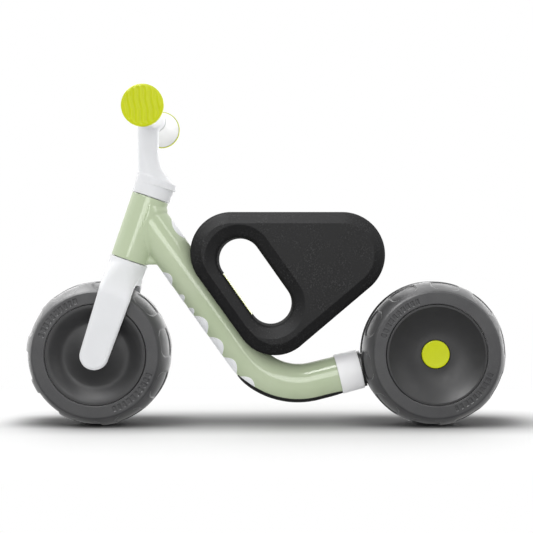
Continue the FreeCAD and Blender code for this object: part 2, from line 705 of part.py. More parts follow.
def at_bar(label, turn):
    """A body at the middle of the handlebar whose +Z points out along the bar."""
    part = place(new_body(label), x=size("bar_x"), z=size("bar_z"))
    part.Placement = FreeCAD.Placement(part.Placement.Base,
                                       FreeCAD.Rotation(FreeCAD.Vector(1, 0, 0), turn))
    return part


def handlebar_tube():
    part = at_bar("handlebar_tube", 90)
    turned(part, ring(size("bar_bore"), size("bar_radius"), -size("bar_half"), size("bar_half")))
    return part


def grip(name, turn):
    """Grip that flares like a trumpet towards its end cap."""
    part = at_bar("grip_" + name, turn)
    inner, slim, wide = size("bar_radius"), size("grip_radius"), size("grip_flare_radius")
    waist, end = size("grip_waist"), size("bar_half")
    flare = (((wide - slim) * (wide - slim)) + ((end - waist) * (end - waist))) / ((wide - slim) * 2)
    turned(part, [(inner, size("bar_boss_half")), (slim, size("bar_boss_half")), (slim, waist),
                  (wide, end, -flare), (inner, end)])
    return part


def grip_cap(name, turn):
    part = at_bar("grip_cap_" + name, turn)
    end, face, plug = size("bar_half"), size("handlebar_half"), size("bar_bore")
    flange = size("cap_flange_radius")
    root = end - size("cap_plug_length")
    turned(part, [(0, root), (plug, root), (plug, end), (flange, end), (flange, face), (0, face)])
    return part


def front_axle():
    part = at_wheel("front_axle", -1, 90)
    half, radius = size("front_axle_half"), size("axle_radius")
    turned(part, [(0, -half), (radius, -half), (radius, half), (0, half)])
    return part


def front_spacer(name, turn):
    part = at_wheel("front_spacer_" + name, -1, turn)
    low = size("tyre_half_width") + size("spacer_start")
    turned(part, ring(size("axle_radius"), size("bush_radius"), low, size("fork_gap_half")))
    return part


# ---------------------------------------------------------------- wheels

def tyre_corners(inner_side):
    """Outline of a tyre's section from its inner side to the outer sidewall."""
    hub, seat = size("hub_radius"), size("disc_radius") + size("disc_gap")
    crown, shoulder, side = size("tyre_radius"), size("shoulder_radius"), size("sidewall_radius")
    edge, face, core = size("shoulder_half_width"), size("tyre_half_width"), size("hub_half_width")
    flat, drop = size("tyre_flat"), crown - shoulder
    bulge = (drop * drop + (edge - flat) * (edge - flat)) / (drop * 2)
    if inner_side == "mirrored":
        start = [(hub, -core), (seat, -core), (seat, -face), (side, -face), (shoulder, -edge),
                 (crown, -flat, bulge), (crown, flat)]
    else:
        inner, chamfer = size("wheel_gap_half"), size("tyre_chamfer")
        step = inner + size("core_inset")
        start = [(hub, step), (seat, step), (seat, inner), (crown - chamfer, inner),
                 (crown, inner + chamfer)]
    return start + [(shoulder, edge, bulge), (side, face), (seat, face), (seat, core), (hub, core)]


def front_wheel():
    parts = []
    tyre = at_wheel("front_tyre", -1, 90)
    turned(tyre, tyre_corners("mirrored"))
    core = at_wheel("front_hub_core", -1, 90)
    hub, bush, boss = size("hub_radius"), size("bush_radius"), size("boss_radius")
    wall, half, web = hub - size("hub_wall"), size("hub_half_width"), size("web_half")
    turned(core, [(bush, -half), (boss, -half), (boss, -web), (wall, -web), (wall, -half),
                  (hub, -half), (hub, half), (wall, half), (wall, web), (boss, web),
                  (boss, half), (bush, half)])
    parts += [tyre, core]
    lip, skin = size("tyre_half_width") - size("disc_set_back"), size("disc_wall")
    trough, face = size("trough_radius"), size("hub_face_radius")
    low, raised = lip - size("trough_depth"), half + skin
    for name, turn in SIDES:
        disc = at_wheel("front_disc_" + name, -1, turn)
        turned(disc, [(bush, half), (face, half), (trough, low - skin), (wall, half),
                      (size("disc_radius"), half), (size("disc_radius"), lip),
                      (size("disc_radius") - size("disc_lip"), lip), (trough, low), (face, raised),
                      (bush, raised)])
        sleeve = at_wheel("front_bush_" + name, -1, turn)
        end = size("tyre_half_width") + size("front_bush_proud")
        turned(sleeve, ring(size("axle_radius") + size("running_gap"), bush,
                            end - size("bush_length"), end))
        parts += [disc, sleeve]
    return parts


def rear_wheel(name, turn):
    """One rear wheel: tyre, hub core, dished outer disc, flat inner disc, bush and cap."""
    hub, bush, boss = size("hub_radius"), size("bush_radius"), size("boss_radius")
    inner, half, skin = size("wheel_gap_half"), size("hub_half_width"), size("disc_wall")
    wall, disc_edge = hub - size("hub_wall"), size("disc_radius")
    plate, lip = inner + size("plate_inset"), size("tyre_half_width") - size("disc_set_back")
    floor = size("tyre_half_width") - size("dish_depth")
    tyre = at_wheel("rear_tyre_" + name, 1, turn)
    turned(tyre, tyre_corners("single"))
    core = at_wheel("rear_hub_core_" + name, 1, turn)
    seat = inner + size("core_inset")
    web_low, web_high = floor - size("rear_web_back"), floor - size("rear_web_front")
    turned(core, [(bush, plate), (boss, plate), (boss, web_low), (wall, web_low), (wall, seat),
                  (hub, seat), (hub, half), (wall, half), (wall, web_high), (bush, web_high)])
    inner_disc = at_wheel("rear_inner_disc_" + name, 1, turn)
    turned(inner_disc, ring(boss, disc_edge, plate, seat))
    disc = at_wheel("rear_disc_" + name, 1, turn)
    rim, level = size("cap_radius") + size("disc_gap"), size("dish_floor_radius")
    turned(disc, [(rim, floor - skin), (level, floor - skin), (wall, half), (disc_edge, half),
                  (disc_edge, lip), (disc_edge - size("disc_lip"), lip), (level, floor),
                  (rim, floor)])
    sleeve = at_wheel("rear_bush_" + name, 1, turn)
    turned(sleeve, ring(size("axle_radius") + size("running_gap"), bush,
                        inner + size("rear_bush_inset"), web_low))
    cap = at_wheel("rear_cap_" + name, 1, turn)
    top = floor + size("cap_rise")
    under, radius = top - size("cap_thickness"), size("cap_radius")
    skirt = radius - size("cap_skirt")
    turned(cap, [(0, under), (boss, under), (boss, web_high), (skirt, web_high), (skirt, under),
                 (radius, under), (radius, top), (0, top)])
    return [tyre, core, inner_disc, disc, sleeve, cap]


def rear_axle():
    part = at_wheel("rear_axle", 1, 90)
    half, radius = size("rear_axle_half"), size("axle_radius")
    turned(part, [(0, -half), (radius, -half), (radius, half), (0, half)])
    return part


def rear_nut(name, turn):
    part = at_wheel("rear_nut_" + name, 1, turn)
    floor = size("tyre_half_width") - size("dish_depth")
    flats = size("nut_flats_half")
    corner, half_side = flats / cosine(number(30)), flats * sine(number(30)) / cosine(number(30))
    hexagon = outline(sketch_on(part, "hexagon_" + name, "XY_Plane", z=floor - size("nut_back")),
                      [(corner, 0), (corner / 2, flats), (-corner / 2, flats), (-corner, 0),
                       (-corner / 2, -flats), (half_side, -flats)])
    circle(hexagon, size("axle_radius"))
    padded(part, hexagon, size("nut_height"))
    return part


# ---------------------------------------------------------------- the whole bike

def build():
    nodes = [frame_tube(), tail_collar(), rear_carrier(), underside_guard()]
    nodes += seat_parts()
    nodes.append(headset_bush("headset_bush_lower", number(0), True))
    nodes.append(headset_bush("headset_bush_upper", size("head_length") - size("headset_bush_length"),
                              False))
    nodes += [rear_axle()] + [rear_nut(*side) for side in SIDES]
    nodes += [fork(), steerer_tube(), steerer_bolt(), steerer_plug(), stem(), handlebar_tube()]
    nodes += [make(*side) for make in (grip, grip_cap, front_spacer) for side in SIDES]
    nodes.append(front_axle())
    nodes += front_wheel()
    for side in SIDES:
        nodes += rear_wheel(*side)
    return nodes


def check(nodes):
    """Stop if any object failed to build or any sub-part is not a valid solid."""
    for thing in doc.Objects:
        if "Invalid" in thing.State or "Error" in thing.State:
            raise RuntimeError(f"{thing.Name} failed: {thing.State}")
    for node in nodes:
        shape = node.Shape
        if shape.isNull() or not shape.isValid() or shape.Volume < 1:
            raise RuntimeError(f"{node.Label} is not a valid solid")


def write(nodes):
    os.makedirs(PARTS_FOLDER, exist_ok=True)
    for node in nodes:
        node.Shape.exportStep(os.path.join(PARTS_FOLDER, node.Label + ".step"))
        print(f"{node.Label}: {len(node.Shape.Solids)} solid, {node.Shape.Volume / 1000:.2f} cm3")


sub_parts = build()
doc.recompute()
check(sub_parts)
write(sub_parts)
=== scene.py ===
import json
import math

import bmesh
import bpy
import numpy as np
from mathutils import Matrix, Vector


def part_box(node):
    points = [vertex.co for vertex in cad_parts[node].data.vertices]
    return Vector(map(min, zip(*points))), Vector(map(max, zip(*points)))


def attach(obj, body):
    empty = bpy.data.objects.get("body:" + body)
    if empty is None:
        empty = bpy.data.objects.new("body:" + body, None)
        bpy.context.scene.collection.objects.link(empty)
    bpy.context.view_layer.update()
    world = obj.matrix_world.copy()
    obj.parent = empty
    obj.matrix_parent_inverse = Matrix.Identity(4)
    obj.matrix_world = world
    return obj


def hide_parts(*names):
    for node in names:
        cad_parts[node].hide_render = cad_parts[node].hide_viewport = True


# The looks of a toddler's balance bike.  Shapes are worked out in millimetres in the shared frame
# (+X to the rear, +Y away from the camera, +Z up) and scaled to metres when a mesh is made.

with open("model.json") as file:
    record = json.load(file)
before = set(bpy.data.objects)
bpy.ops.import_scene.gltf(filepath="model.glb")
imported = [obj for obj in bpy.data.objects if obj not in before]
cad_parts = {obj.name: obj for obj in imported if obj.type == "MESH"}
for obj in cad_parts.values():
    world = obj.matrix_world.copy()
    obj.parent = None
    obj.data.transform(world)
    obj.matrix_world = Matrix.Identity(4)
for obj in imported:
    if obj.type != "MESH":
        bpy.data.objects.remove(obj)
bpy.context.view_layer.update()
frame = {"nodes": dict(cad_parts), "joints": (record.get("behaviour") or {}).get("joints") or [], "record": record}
nodes = frame["nodes"]
MM = 0.001


def box_mm(node):
    low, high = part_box(node)
    return np.array(low) / MM, np.array(high) / MM


def middle_mm(node):
    low, high = box_mm(node)
    return (low + high) / 2


# ---- driving places from the frame

FRONT_HUB = middle_mm("front_tyre")
REAR_HUB = (middle_mm("rear_tyre_left") + middle_mm("rear_tyre_right")) / 2
TYRE_RADIUS = FRONT_HUB[2]
TYRE_HALF_WIDTH = box_mm("front_tyre")[1][1]
WHEEL_GAP_HALF = box_mm("rear_tyre_right")[0][1]
BAR = middle_mm("handlebar_tube")
BAR_MIDDLE = np.array([BAR[0], 0, BAR[2]])
BAR_END = box_mm("grip_right")[1][1]
CAP_END = box_mm("grip_cap_right")[1][1]
steering = next(joint for joint in frame["joints"] if joint["name"] == "steering")
HEAD = np.array(steering["pos_m"]) / MM
HEAD_UP = np.array(steering["axis"])
HEAD_BACK = np.array([HEAD_UP[2], 0.0, -HEAD_UP[0]])

# main tube, head tube and the web in their lower corner; the tube's straight runs cross at the vertex
HEAD_LENGTH, HEAD_RADIUS = 72.0, 20.4
VERTEX = np.array([5.1, 35.7])
DOWN_ANGLE, TAIL_ANGLE = math.radians(54.47), math.radians(14.0)
DOWN_LENGTH, TAIL_LENGTH, BEND_RADIUS = 238.0, 101.3, 71.5
TUBE_TOP_RADIUS, TUBE_END_RADIUS = 21.2, 19.9
WEB_HALF, WEB_FLOOR, WELD, BEAD_RADIUS, BEAD_RISE, MITRE = 7.5, 174.3, 0.6, 2.0, 0.4, 6.0
SLEEVE_LENGTH, SLEEVE_FRONT_BORE, SLEEVE_REAR_BORE = 25.0, 20.6, 19.5
SLEEVE_FRONT_RADIUS, SLEEVE_REAR_RADIUS = 21.9, 21.3

# seat
SEAT_CORNERS = ((9.6, 119.7, 43.0), (82.1, 185.0, 46.0), (-37.7, 187.0, 44.0))
SLOT_ENDS = ((5.1, 131.7), (-29.1, 180.1))
SLOT_RADIUS, CHANNEL_GAP = 23.0, 0.4
TRIM_HALF_LENGTH, TRIM_HALF_WIDTH, TRIM_DEPTH, TRIM_PROUD = 27.6, 24.6, 1.6, 0.35
SEAT_HALF_WIDTH, BEVEL_WIDTH, BEVEL_DROP, HOLE_WIDTH, HOLE_DROP = 40.0, 12.6, 8.0, 13.5, 6.4

# fork and stem
HEADSET_GAP, STEM_COLLAR_RADIUS, FORK_CROWN_RADIUS, CROWN_DEPTH = 0.6, 21.5, 20.7, 24.5
AXLE_TRAIL, AXLE_DROP, LEG_END_RADIUS = 2.9, 106.5, 15.4
SPREAD_DEPTH, SHOULDER_TUCK, LEG_CORNER = 40.0, 1.5, 4.5
FORK_HALF_WIDTH, FORK_GAP_HALF, ARCH_RADIUS = 55.0, 46.0, 22.0
LEG_TOP = (2.5, -40.0, 17.6)
NECK_FRONT, NECK_REAR, NECK_HALF_Y, NECK_CORNER = -140.2, -118.2, 12.0, 6.5
NECK_FLARE_TOP, NECK_FLARE_BACK, NECK_FLARE_SIDE, NECK_FLARE_CORNER = 120.0, 18.6, 9.5, 14.0
NECK_BACK_POWER, NECK_SIDE_POWER, NECK_START, STEM_COLLAR_HEIGHT = 2.2, 1.3, 14.0, 20.4
BAR_BOSS_RADIUS, BAR_BOSS_HALF = 12.4, 20.0

# grips and their caps
GRIP_BORE, GRIP_RADIUS, GRIP_FLARE, GRIP_FLARE_POWER = 9.6, 13.0, 20.6, 1.6
GRIP_START, GRIP_CHAMFER, GRIP_WAIST, CAP_FLANGE = 22.0, 0.6, 62.0, 21.6
RIB_LEAN, RIB_PITCH, RIB_HEIGHT = math.radians(-7), 5.9, 1.1
RIB_WAVE, RIB_WAVE_REACH, CAP_BORDER = 0.5, 3.1, 2.2

# wheels
AXIS_LEFT = (0, -1, 0)
TYRE_FLAT, SHOULDER_RADIUS, SHOULDER_HALF_WIDTH, SIDEWALL_RADIUS = 11.0, 68.5, 42.0, 66.7
DISC_RADIUS, HUB_RADIUS, HUB_HALF_WIDTH, WALL = 54.0, 52.0, 38.0, 2.5
DISC_SEAT, DISC_EDGE, DISC_LIP = DISC_RADIUS + 0.5, DISC_RADIUS - 2.5, TYRE_HALF_WIDTH - 0.3
LIP_CHAMFER = 0.6
DISC_RIM = [(DISC_RADIUS, HUB_HALF_WIDTH), (DISC_RADIUS, DISC_LIP - LIP_CHAMFER),
            (DISC_RADIUS - LIP_CHAMFER, DISC_LIP)]
TROUGH_RADIUS, TROUGH_DEPTH, HUB_FACE, HUB_TOP_RADIUS, BUSH_RADIUS = 34.0, 7.5, 23.0, 10.0, 8.0
DISH_DEPTH, DISH_FLOOR, CAP_RADIUS, CAP_RISE, CAP_THICKNESS = 13.0, 19.0, 15.0, 1.5, 3.5
PAD_PITCH, PAD_HALF_LENGTH, PAD_CENTRE, PAD_HALF_WIDTH = 36.0, 15.7, 21.5, 16.5
PAD_CORNER, PAD_WALL, PAD_DEPTH = 9.0, 1.6, 1.5
REAR_PAD_CENTRE, REAR_PAD_HALF_WIDTH = 26.0, 12.0
FRONT_PAD_PHASE, REAR_PAD_PHASE = 9.5, 118.0
GROOVE_ARCS, GROOVE_ARC_HALF, GROOVE_PITCH, GROOVE_SHARE = (135.0, 315.0), 28.0, 5.5, 0.28
GROOVE_DEPTH, GROOVE_LOW, GROOVE_HIGH = 1.0, 57.5, 63.5

# print and underside guard; a spot's place along the tube and angle round it, and its half sizes
PRINT_HEIGHT, PRINT_SINK = 0.15, 0.3
PRINT_SPOTS = [(72, 90, 9, 17), (98, 90, 5, 15), (116, 90, 5, 15), (134, 90, 12.5, 20.5),
               (162.4, 90, 12.5, 20.5), (188, 90, 10.5, 19.5), (210, 90, 9, 19), (34.5, -90, 13, 13)]
GUARD_FRONT_ANGLE, GUARD_REAR_X = math.radians(46), 82.0
GUARD_HALF_ANGLE, GUARD_THICKNESS = math.radians(30), 1.9
GUARD_THINNING, GUARD_NARROWING = 0.7, 0.35

# studio: strengths of light, shades of grey, and places in metres; FLOOR_SHADE and POOL_SHADE are the greys of the
# painted shadow on the floor
SOFT_LOW, SOFT_HIGH, MIRROR_FRONT, MIRROR_BACK, MIRROR_WALL = 1.04, 1.18, 0.3, 3.8, 0.8
FLOOR_PALE, FLOOR_SHADE, POOL_SHADE, FLOOR_BOUNCE, FLOOR_MIRROR = 0.9, 0.13, 0.03, 0.97, 0.3
SHADOW_X, SHADOW_Y, POOL_HALF_LENGTH, POOL_FADE = 0.03, 0.02, 0.045, 0.12
CAMERA_PLACE, FLOOR_REACH = (0.00046, -1.381, 0.1723), 6.0 / MM


# ---- meshes

def add_object(name, data):
    thing = bpy.data.objects.new(name, data)
    bpy.context.scene.collection.objects.link(thing)
    return thing


def read(items, field, width=1, kind=float):
    """One field of a mesh's points, corners or faces as an array."""
    values = np.empty(len(items) * width, kind)
    items.foreach_get(field, values)
    return values


def new_piece(name, points, faces):
    """A smooth-shaded mesh object from points in millimetres."""
    mesh = bpy.data.meshes.new(name)
    mesh.from_pydata((np.asarray(points) * MM).tolist(), [], [list(face) for face in faces])
    mesh.validate()
    mesh.shade_smooth()
    return add_object(name, mesh)


def finish_piece(piece, body, slot, *replaced, crease=None, paint=None):
    """Material, chosen by the slot unless a paint is given, body, and the CAD nodes that a piece stands for."""
    piece.data.materials.append(paint or MATERIALS[slot])
    if crease is not None:
        piece.data.set_sharp_from_angle(angle=math.radians(crease))
    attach(piece, body)
    if replaced:
        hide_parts(*replaced)


def finish_pair(left, body, slot, node, crease):
    """Finish a left-hand piece and its mirrored copy.  Each rear wheel is a body of its own."""
    right = mirrored(left, left.name.replace("_left", "_right"))
    for piece, side in ((left, "_left"), (right, "_right")):
        own_body = body + side if body == "rear_wheel" else body
        finish_piece(piece, own_body, slot, node + side, crease=crease)


CREASE = math.radians(12)
CORNERS = np.array([(i, j, k) for i in (0, 1) for j in (0, 1) for k in (0, 1)])
CELL_EDGES = [(a, b) for a in range(8) for b in range(a + 1, 8)
              if np.abs(CORNERS[a] - CORNERS[b]).sum() == 1]


def unit(vectors):
    return vectors / np.maximum(np.linalg.norm(vectors, axis=1), 1e-9)[:, None]


def slope_of(field, points):
    """Gradient of a field at points, by central differences."""
    reach, slope = 0.05, np.empty_like(points)
    for axis in range(3):
        shift = np.zeros(3)
        shift[axis] = reach
        slope[:, axis] = (field(*(points + shift).T) - field(*(points - shift).T)) / (2 * reach)
    return slope


def shade_from_field(piece, field):
    """Give a mesh the field's own normals, split where its faces meet at a crease."""
    mesh = piece.data
    points = read(mesh.vertices, "co", 3).reshape(-1, 3) / MM
    corners = read(mesh.loops, "vertex_index", kind=int)
    starts = read(mesh.polygons, "loop_start", kind=int)
    totals = read(mesh.polygons, "loop_total", kind=int)
    owner = np.repeat(np.arange(len(starts)), totals)
    centres = np.add.reduceat(points[corners], starts, axis=0) / totals[:, None]
    inward = points[corners] + 0.3 * (centres[owner] - points[corners])
    normals = unit(slope_of(field, inward))
    shared = unit(slope_of(field, points))
    agreement = (normals * shared[corners]).sum(1)
    lowest = np.ones(len(points))
    np.minimum.at(lowest, corners, agreement)
    smooth = lowest[corners] > math.cos(CREASE)
    normals[smooth] = shared[corners][smooth]
    mesh.normals_split_custom_set(normals.tolist())


def surface(name, field, low, high, step):
    """Mesh of a field's zero level: one point per crossed grid cell, set on the level's own
    planes so that creases stay sharp."""
    low = np.asarray(low, float)
    counts = np.ceil((np.asarray(high) - low) / step).astype(int) + 1
    axes = [low[axis] + step * np.arange(counts[axis]) for axis in range(3)]
    values = field(*np.meshgrid(*axes, indexing="ij"))
    inside = values < 0
    filled = sum(inside[i:counts[0] - 1 + i, j:counts[1] - 1 + j, k:counts[2] - 1 + k].astype(int)
                 for i, j, k in CORNERS)
    crossed = (filled > 0) & (filled < 8)
    cells = np.argwhere(crossed)
    number = np.full(crossed.shape, -1)
    number[crossed] = np.arange(len(cells))
    at_corner = [values[tuple((cells + corner).T)] for corner in CORNERS]
    total, hits, crossings = np.zeros((len(cells), 3)), np.zeros(len(cells)), []
    for a, b in CELL_EDGES:
        first, second = at_corner[a], at_corner[b]
        cut = np.flatnonzero((first < 0) != (second < 0))
        share = first[cut] / (first[cut] - second[cut])
        places = low + step * (cells[cut] + CORNERS[a] + share[:, None] * (CORNERS[b] - CORNERS[a]))
        total[cut] += places
        hits[cut] += 1
        crossings.append((cut, places))
    middle = total / hits[:, None]
    matrix = np.tile(0.04 * np.eye(3), (len(cells), 1, 1))
    target = np.zeros((len(cells), 3))
    for cut, places in crossings:
        normal = unit(slope_of(field, places))
        matrix[cut] += normal[:, :, None] * normal[:, None, :]
        target[cut] += normal * ((places - middle[cut]) * normal).sum(1)[:, None]
    shift = np.linalg.solve(matrix, target[:, :, None])[:, :, 0]
    points = middle + np.clip(shift, -0.7 * step, 0.7 * step)
    slope = slope_of(field, points)
    pull = field(*points.T) / np.maximum((slope ** 2).sum(1), 1e-6)
    points -= np.clip(pull[:, None] * slope, -step / 5, step / 5)
    faces = []
    for axis in range(3):
        across, up = [other for other in range(3) if other != axis]
        ahead, behind = [slice(None)] * 3, [slice(None)] * 3
        ahead[axis], behind[axis] = slice(1, None), slice(None, -1)
        starts, ends = inside[tuple(behind)], inside[tuple(ahead)]
        spots = np.argwhere(starts != ends)
        spots = spots[(spots[:, across] > 0) & (spots[:, up] > 0)
                      & (spots[:, across] < counts[across] - 1) & (spots[:, up] < counts[up] - 1)]
        ring = []
        for da, du in ((1, 1), (0, 1), (0, 0), (1, 0)):
            near = spots.copy()
            near[:, across] -= da
            near[:, up] -= du
            ring.append(number[tuple(near.T)])
        quads = np.stack(ring, axis=1)
        flip = starts[tuple(spots.T)] == (axis == 1)
        quads[flip] = quads[flip][:, ::-1]
        faces.append(quads)
    piece = new_piece(name, points, np.concatenate(faces))
    shade_from_field(piece, field)
    return piece


def smooth_join(first, second, blend):
    """Union of two fields with a fillet of about the blend size."""
    share = np.clip(0.5 + 0.5 * (second - first) / blend, 0, 1)
    return second * (1 - share) + first * share - blend * share * (1 - share)


def smooth_meet(first, second, blend):
    """Intersection of two fields with a rounded edge."""
    return -smooth_join(-first, -second, blend)


def smooth_step(share):
    """A share from 0 to 1 that starts and ends level."""
    return share ** 2 * (3 - 2 * share)


def rounded_corners(corners, closed=True):
    """Points of an outline whose (across, up, radius) corners are rounded by arcs."""
    count, steps, points = len(corners), 6, []
    for index, (across, up, radius) in enumerate(corners):
        here = np.array([across, up], float)
        if radius == 0 or (not closed and index in (0, count - 1)):
            points.append(here)
            continue
        back, ahead = [np.array(corners[near % count][:2], float) - here for near in (index - 1, index + 1)]
        back_length, ahead_length = np.linalg.norm(back), np.linalg.norm(ahead)
        back, ahead = back / back_length, ahead / ahead_length
        opening = math.acos(np.clip(back @ ahead, -1, 1))
        if opening > math.pi - 0.02:
            points.append(here)
            continue
        reach = min(radius / math.tan(opening / 2), 0.49 * back_length, 0.49 * ahead_length)
        radius = reach * math.tan(opening / 2)
        centre = here + (back + ahead) / np.linalg.norm(back + ahead) * (radius / math.sin(opening / 2))
        begin, end = here + back * reach - centre, here + ahead * reach - centre
        first = math.atan2(begin[1], begin[0])
        turn = (math.atan2(end[1], end[0]) - first + math.pi) % (2 * math.pi) - math.pi
        for step in range(steps + 1):
            angle = first + turn * step / steps
            points.append(centre + radius * np.array([math.cos(angle), math.sin(angle)]))
    return np.array(points)


def even_spacing(points, step, closed=True):
    """The same outline with points no further apart than the step."""
    result = []
    last = len(points) if closed else len(points) - 1
    for index in range(last):
        start, end = points[index], points[(index + 1) % len(points)]
        pieces = max(1, math.ceil(np.linalg.norm(end - start) / step))
        result += [start + (end - start) * part / pieces for part in range(pieces)]
    if not closed:
        result.append(points[-1])
    return np.array(result)


def lathe(name, outline, origin, segments=192, axis=AXIS_LEFT, closed=True, shape=None):
    """Turn an anticlockwise (radius, height) outline about an axis, heights measured along it.

    shape may say how far each grid point moves outwards along the outline's own normal."""
    outline = np.asarray(outline, float)
    count = len(outline)
    axis = np.asarray(axis, float)
    start = np.array([1.0, 0.0, 0.0])
    start -= axis * (start @ axis)
    start /= np.linalg.norm(start)
    side = np.cross(axis, start)
    angles = 2 * math.pi * np.arange(segments) / segments
    turn, radius = np.meshgrid(angles, outline[:, 0], indexing="ij")
    height = np.tile(outline[:, 1], (segments, 1))
    if shape is not None:
        ahead, back = np.roll(outline, -1, 0), np.roll(outline, 1, 0)
        if not closed:
            ahead[-1], back[0] = outline[-1], outline[0]
        along = ahead - back
        along /= np.maximum(np.linalg.norm(along, axis=1), 1e-9)[:, None]
        move = shape(turn, radius, height)
        radius = radius + move * along[:, 1]
        height = height - move * along[:, 0]
    points = (origin + (radius * np.cos(turn))[..., None] * start
              + (radius * np.sin(turn))[..., None] * side + height[..., None] * axis).reshape(-1, 3)
    faces = []
    sides = count if closed else count - 1
    for step in range(segments):
        here, there = step * count, (step + 1) % segments * count
        for index in range(sides):
            following = (index + 1) % count
            faces.append((here + index, there + index, there + following, here + following))
    piece = new_piece(name, points, faces)
    if not closed:
        close_poles(piece)
    return piece


def ring_faces(rings, spokes):
    """Quads between rings of points that follow each other, each ring closed on itself."""
    return [(ring * spokes + spoke, ring * spokes + (spoke + 1) % spokes,
             (ring + 1) * spokes + (spoke + 1) % spokes, (ring + 1) * spokes + spoke)
            for ring in range(rings) for spoke in range(spokes)]


def close_poles(piece):
    """Merge points that share one place, such as the rings on a lathe's own axis."""
    mesh = bmesh.new()
    mesh.from_mesh(piece.data)
    bmesh.ops.remove_doubles(mesh, verts=mesh.verts, dist=1e-6)
    mesh.to_mesh(piece.data)
    mesh.free()


def mirrored(piece, name):
    """A copy on the other side of the bike's middle plane."""
    mesh = piece.data.copy()
    mesh.name = name
    points = read(mesh.vertices, "co", 3)
    points[1::3] *= -1
    mesh.vertices.foreach_set("co", points)
    mesh.flip_normals()
    return add_object(name, mesh)


# ---- fields

def capsule_2d(x, z, first, second, first_radius, second_radius):
    """Distance to two circles wrapped by a belt."""
    dx, dz = second[0] - first[0], second[1] - first[1]
    length = math.hypot(dx, dz)
    along = ((x - first[0]) * dx + (z - first[1]) * dz) / length
    across = np.abs((x - first[0]) * dz - (z - first[1]) * dx) / length
    lean = (first_radius - second_radius) / length
    upright = math.sqrt(1 - lean * lean)
    share = along * upright - across * lean
    near_first = np.hypot(across, along) - first_radius
    near_second = np.hypot(across, along - length) - second_radius
    between = across * upright + along * lean - first_radius
    return np.where(share < 0, near_first, np.where(share > length * upright, near_second, between))


def rounded_box(dx, dy, corner):
    """Distance to a box with round corners, from the distances to its two pairs of sides."""
    dx, dy = dx + corner, dy + corner
    return np.hypot(np.maximum(dx, 0), np.maximum(dy, 0)) + np.minimum(np.maximum(dx, dy), 0) - corner


def head_frame(x, y, z):
    """Back, side and up along the steering axis, from the head tube's lower end."""
    back = (x - HEAD[0]) * HEAD_BACK[0] + (z - HEAD[2]) * HEAD_BACK[2]
    up = (x - HEAD[0]) * HEAD_UP[0] + (z - HEAD[2]) * HEAD_UP[2]
    return back, y, up


DOWN = np.array([math.cos(DOWN_ANGLE), -math.sin(DOWN_ANGLE)])
TAIL = np.array([math.cos(TAIL_ANGLE), math.sin(TAIL_ANGLE)])
ARC_ANGLE = DOWN_ANGLE + TAIL_ANGLE
SETBACK = BEND_RADIUS * math.tan(ARC_ANGLE / 2)
DOWN_RUN, ARC_RUN, TAIL_RUN = DOWN_LENGTH - SETBACK, ARC_ANGLE * BEND_RADIUS, TAIL_LENGTH - SETBACK
ROUTE_LENGTH = DOWN_RUN + ARC_RUN + TAIL_RUN
TUBE_START, TUBE_END = VERTEX - DOWN * DOWN_LENGTH, VERTEX + TAIL * TAIL_LENGTH
BEND_FIRST, BEND_LAST = VERTEX - DOWN * SETBACK, VERTEX + TAIL * SETBACK
BEND_MIDDLE = BEND_FIRST + np.array([-DOWN[1], DOWN[0]]) * BEND_RADIUS
ARC_START = math.atan2(*(BEND_FIRST - BEND_MIDDLE)[::-1])


def route_distance(x, z):
    """Distance in the XZ plane from the main tube's centre line, and how far along it."""
    results = []
    for start, way, run, offset in ((TUBE_START, DOWN, DOWN_RUN, 0.0),
                                    (BEND_LAST, TAIL, TAIL_RUN, DOWN_RUN + ARC_RUN)):
        along = (x - start[0]) * way[0] + (z - start[1]) * way[1]
        held = np.clip(along, 0, run)
        distance = np.hypot(x - start[0] - held * way[0], z - start[1] - held * way[1])
        results.append((distance, held + offset))
    angle = np.arctan2(z - BEND_MIDDLE[1], x - BEND_MIDDLE[0])
    turned = (angle - ARC_START) % (2 * math.pi)
    on_arc = turned <= ARC_ANGLE
    reach = np.abs(np.hypot(x - BEND_MIDDLE[0], z - BEND_MIDDLE[1]) - BEND_RADIUS)
    arc = (np.where(on_arc, reach, 1e3), DOWN_RUN + np.where(on_arc, turned, 0) * BEND_RADIUS)
    best, along = results[0]
    for distance, place in (arc, results[1]):
        nearer = distance < best
        best, along = np.where(nearer, distance, best), np.where(nearer, place, along)
    return best, along


def tube_radius(along):
    return TUBE_TOP_RADIUS + (TUBE_END_RADIUS - TUBE_TOP_RADIUS) * along / ROUTE_LENGTH


def tube_field(x, y, z):
    distance, along = route_distance(x, z)
    return np.hypot(distance, y) - tube_radius(along)


def frame_field(x, y, z):
    """Main tube and head tube with a weld fillet, and the web in their lower corner."""
    back, side, up = head_frame(x, y, z)
    tail_end = (x - VERTEX[0]) * TAIL[0] + (z - VERTEX[1]) * TAIL[1] - TAIL_LENGTH + 0.5
    main = smooth_meet(smooth_meet(tube_field(x, y, z), tail_end, 1.0), MITRE - back, 1.5)
    head = np.hypot(back, side) - HEAD_RADIUS
    web = smooth_meet(np.abs(side) - WEB_HALF, WEB_FLOOR - z, 3.0)
    web = np.maximum(web, np.maximum(np.maximum(back - 2 * HEAD_RADIUS, -back), up - 40))
    bead = np.hypot(main - BEAD_RISE, head - BEAD_RISE) - BEAD_RADIUS
    joined = smooth_join(smooth_join(np.minimum(main, head), bead, WELD), web, 2 * WELD)
    ends = np.maximum(up - HEAD_LENGTH, np.where(back < HEAD_RADIUS + 4, -up, -1e3))
    return smooth_meet(joined, ends, 0.8)


# ---- materials

def set_sockets(node, **sockets):
    """Set a node's own input values by name, with _ for a space."""
    for socket, value in sockets.items():
        node.inputs[socket.replace("_", " ")].default_value = value
    return node


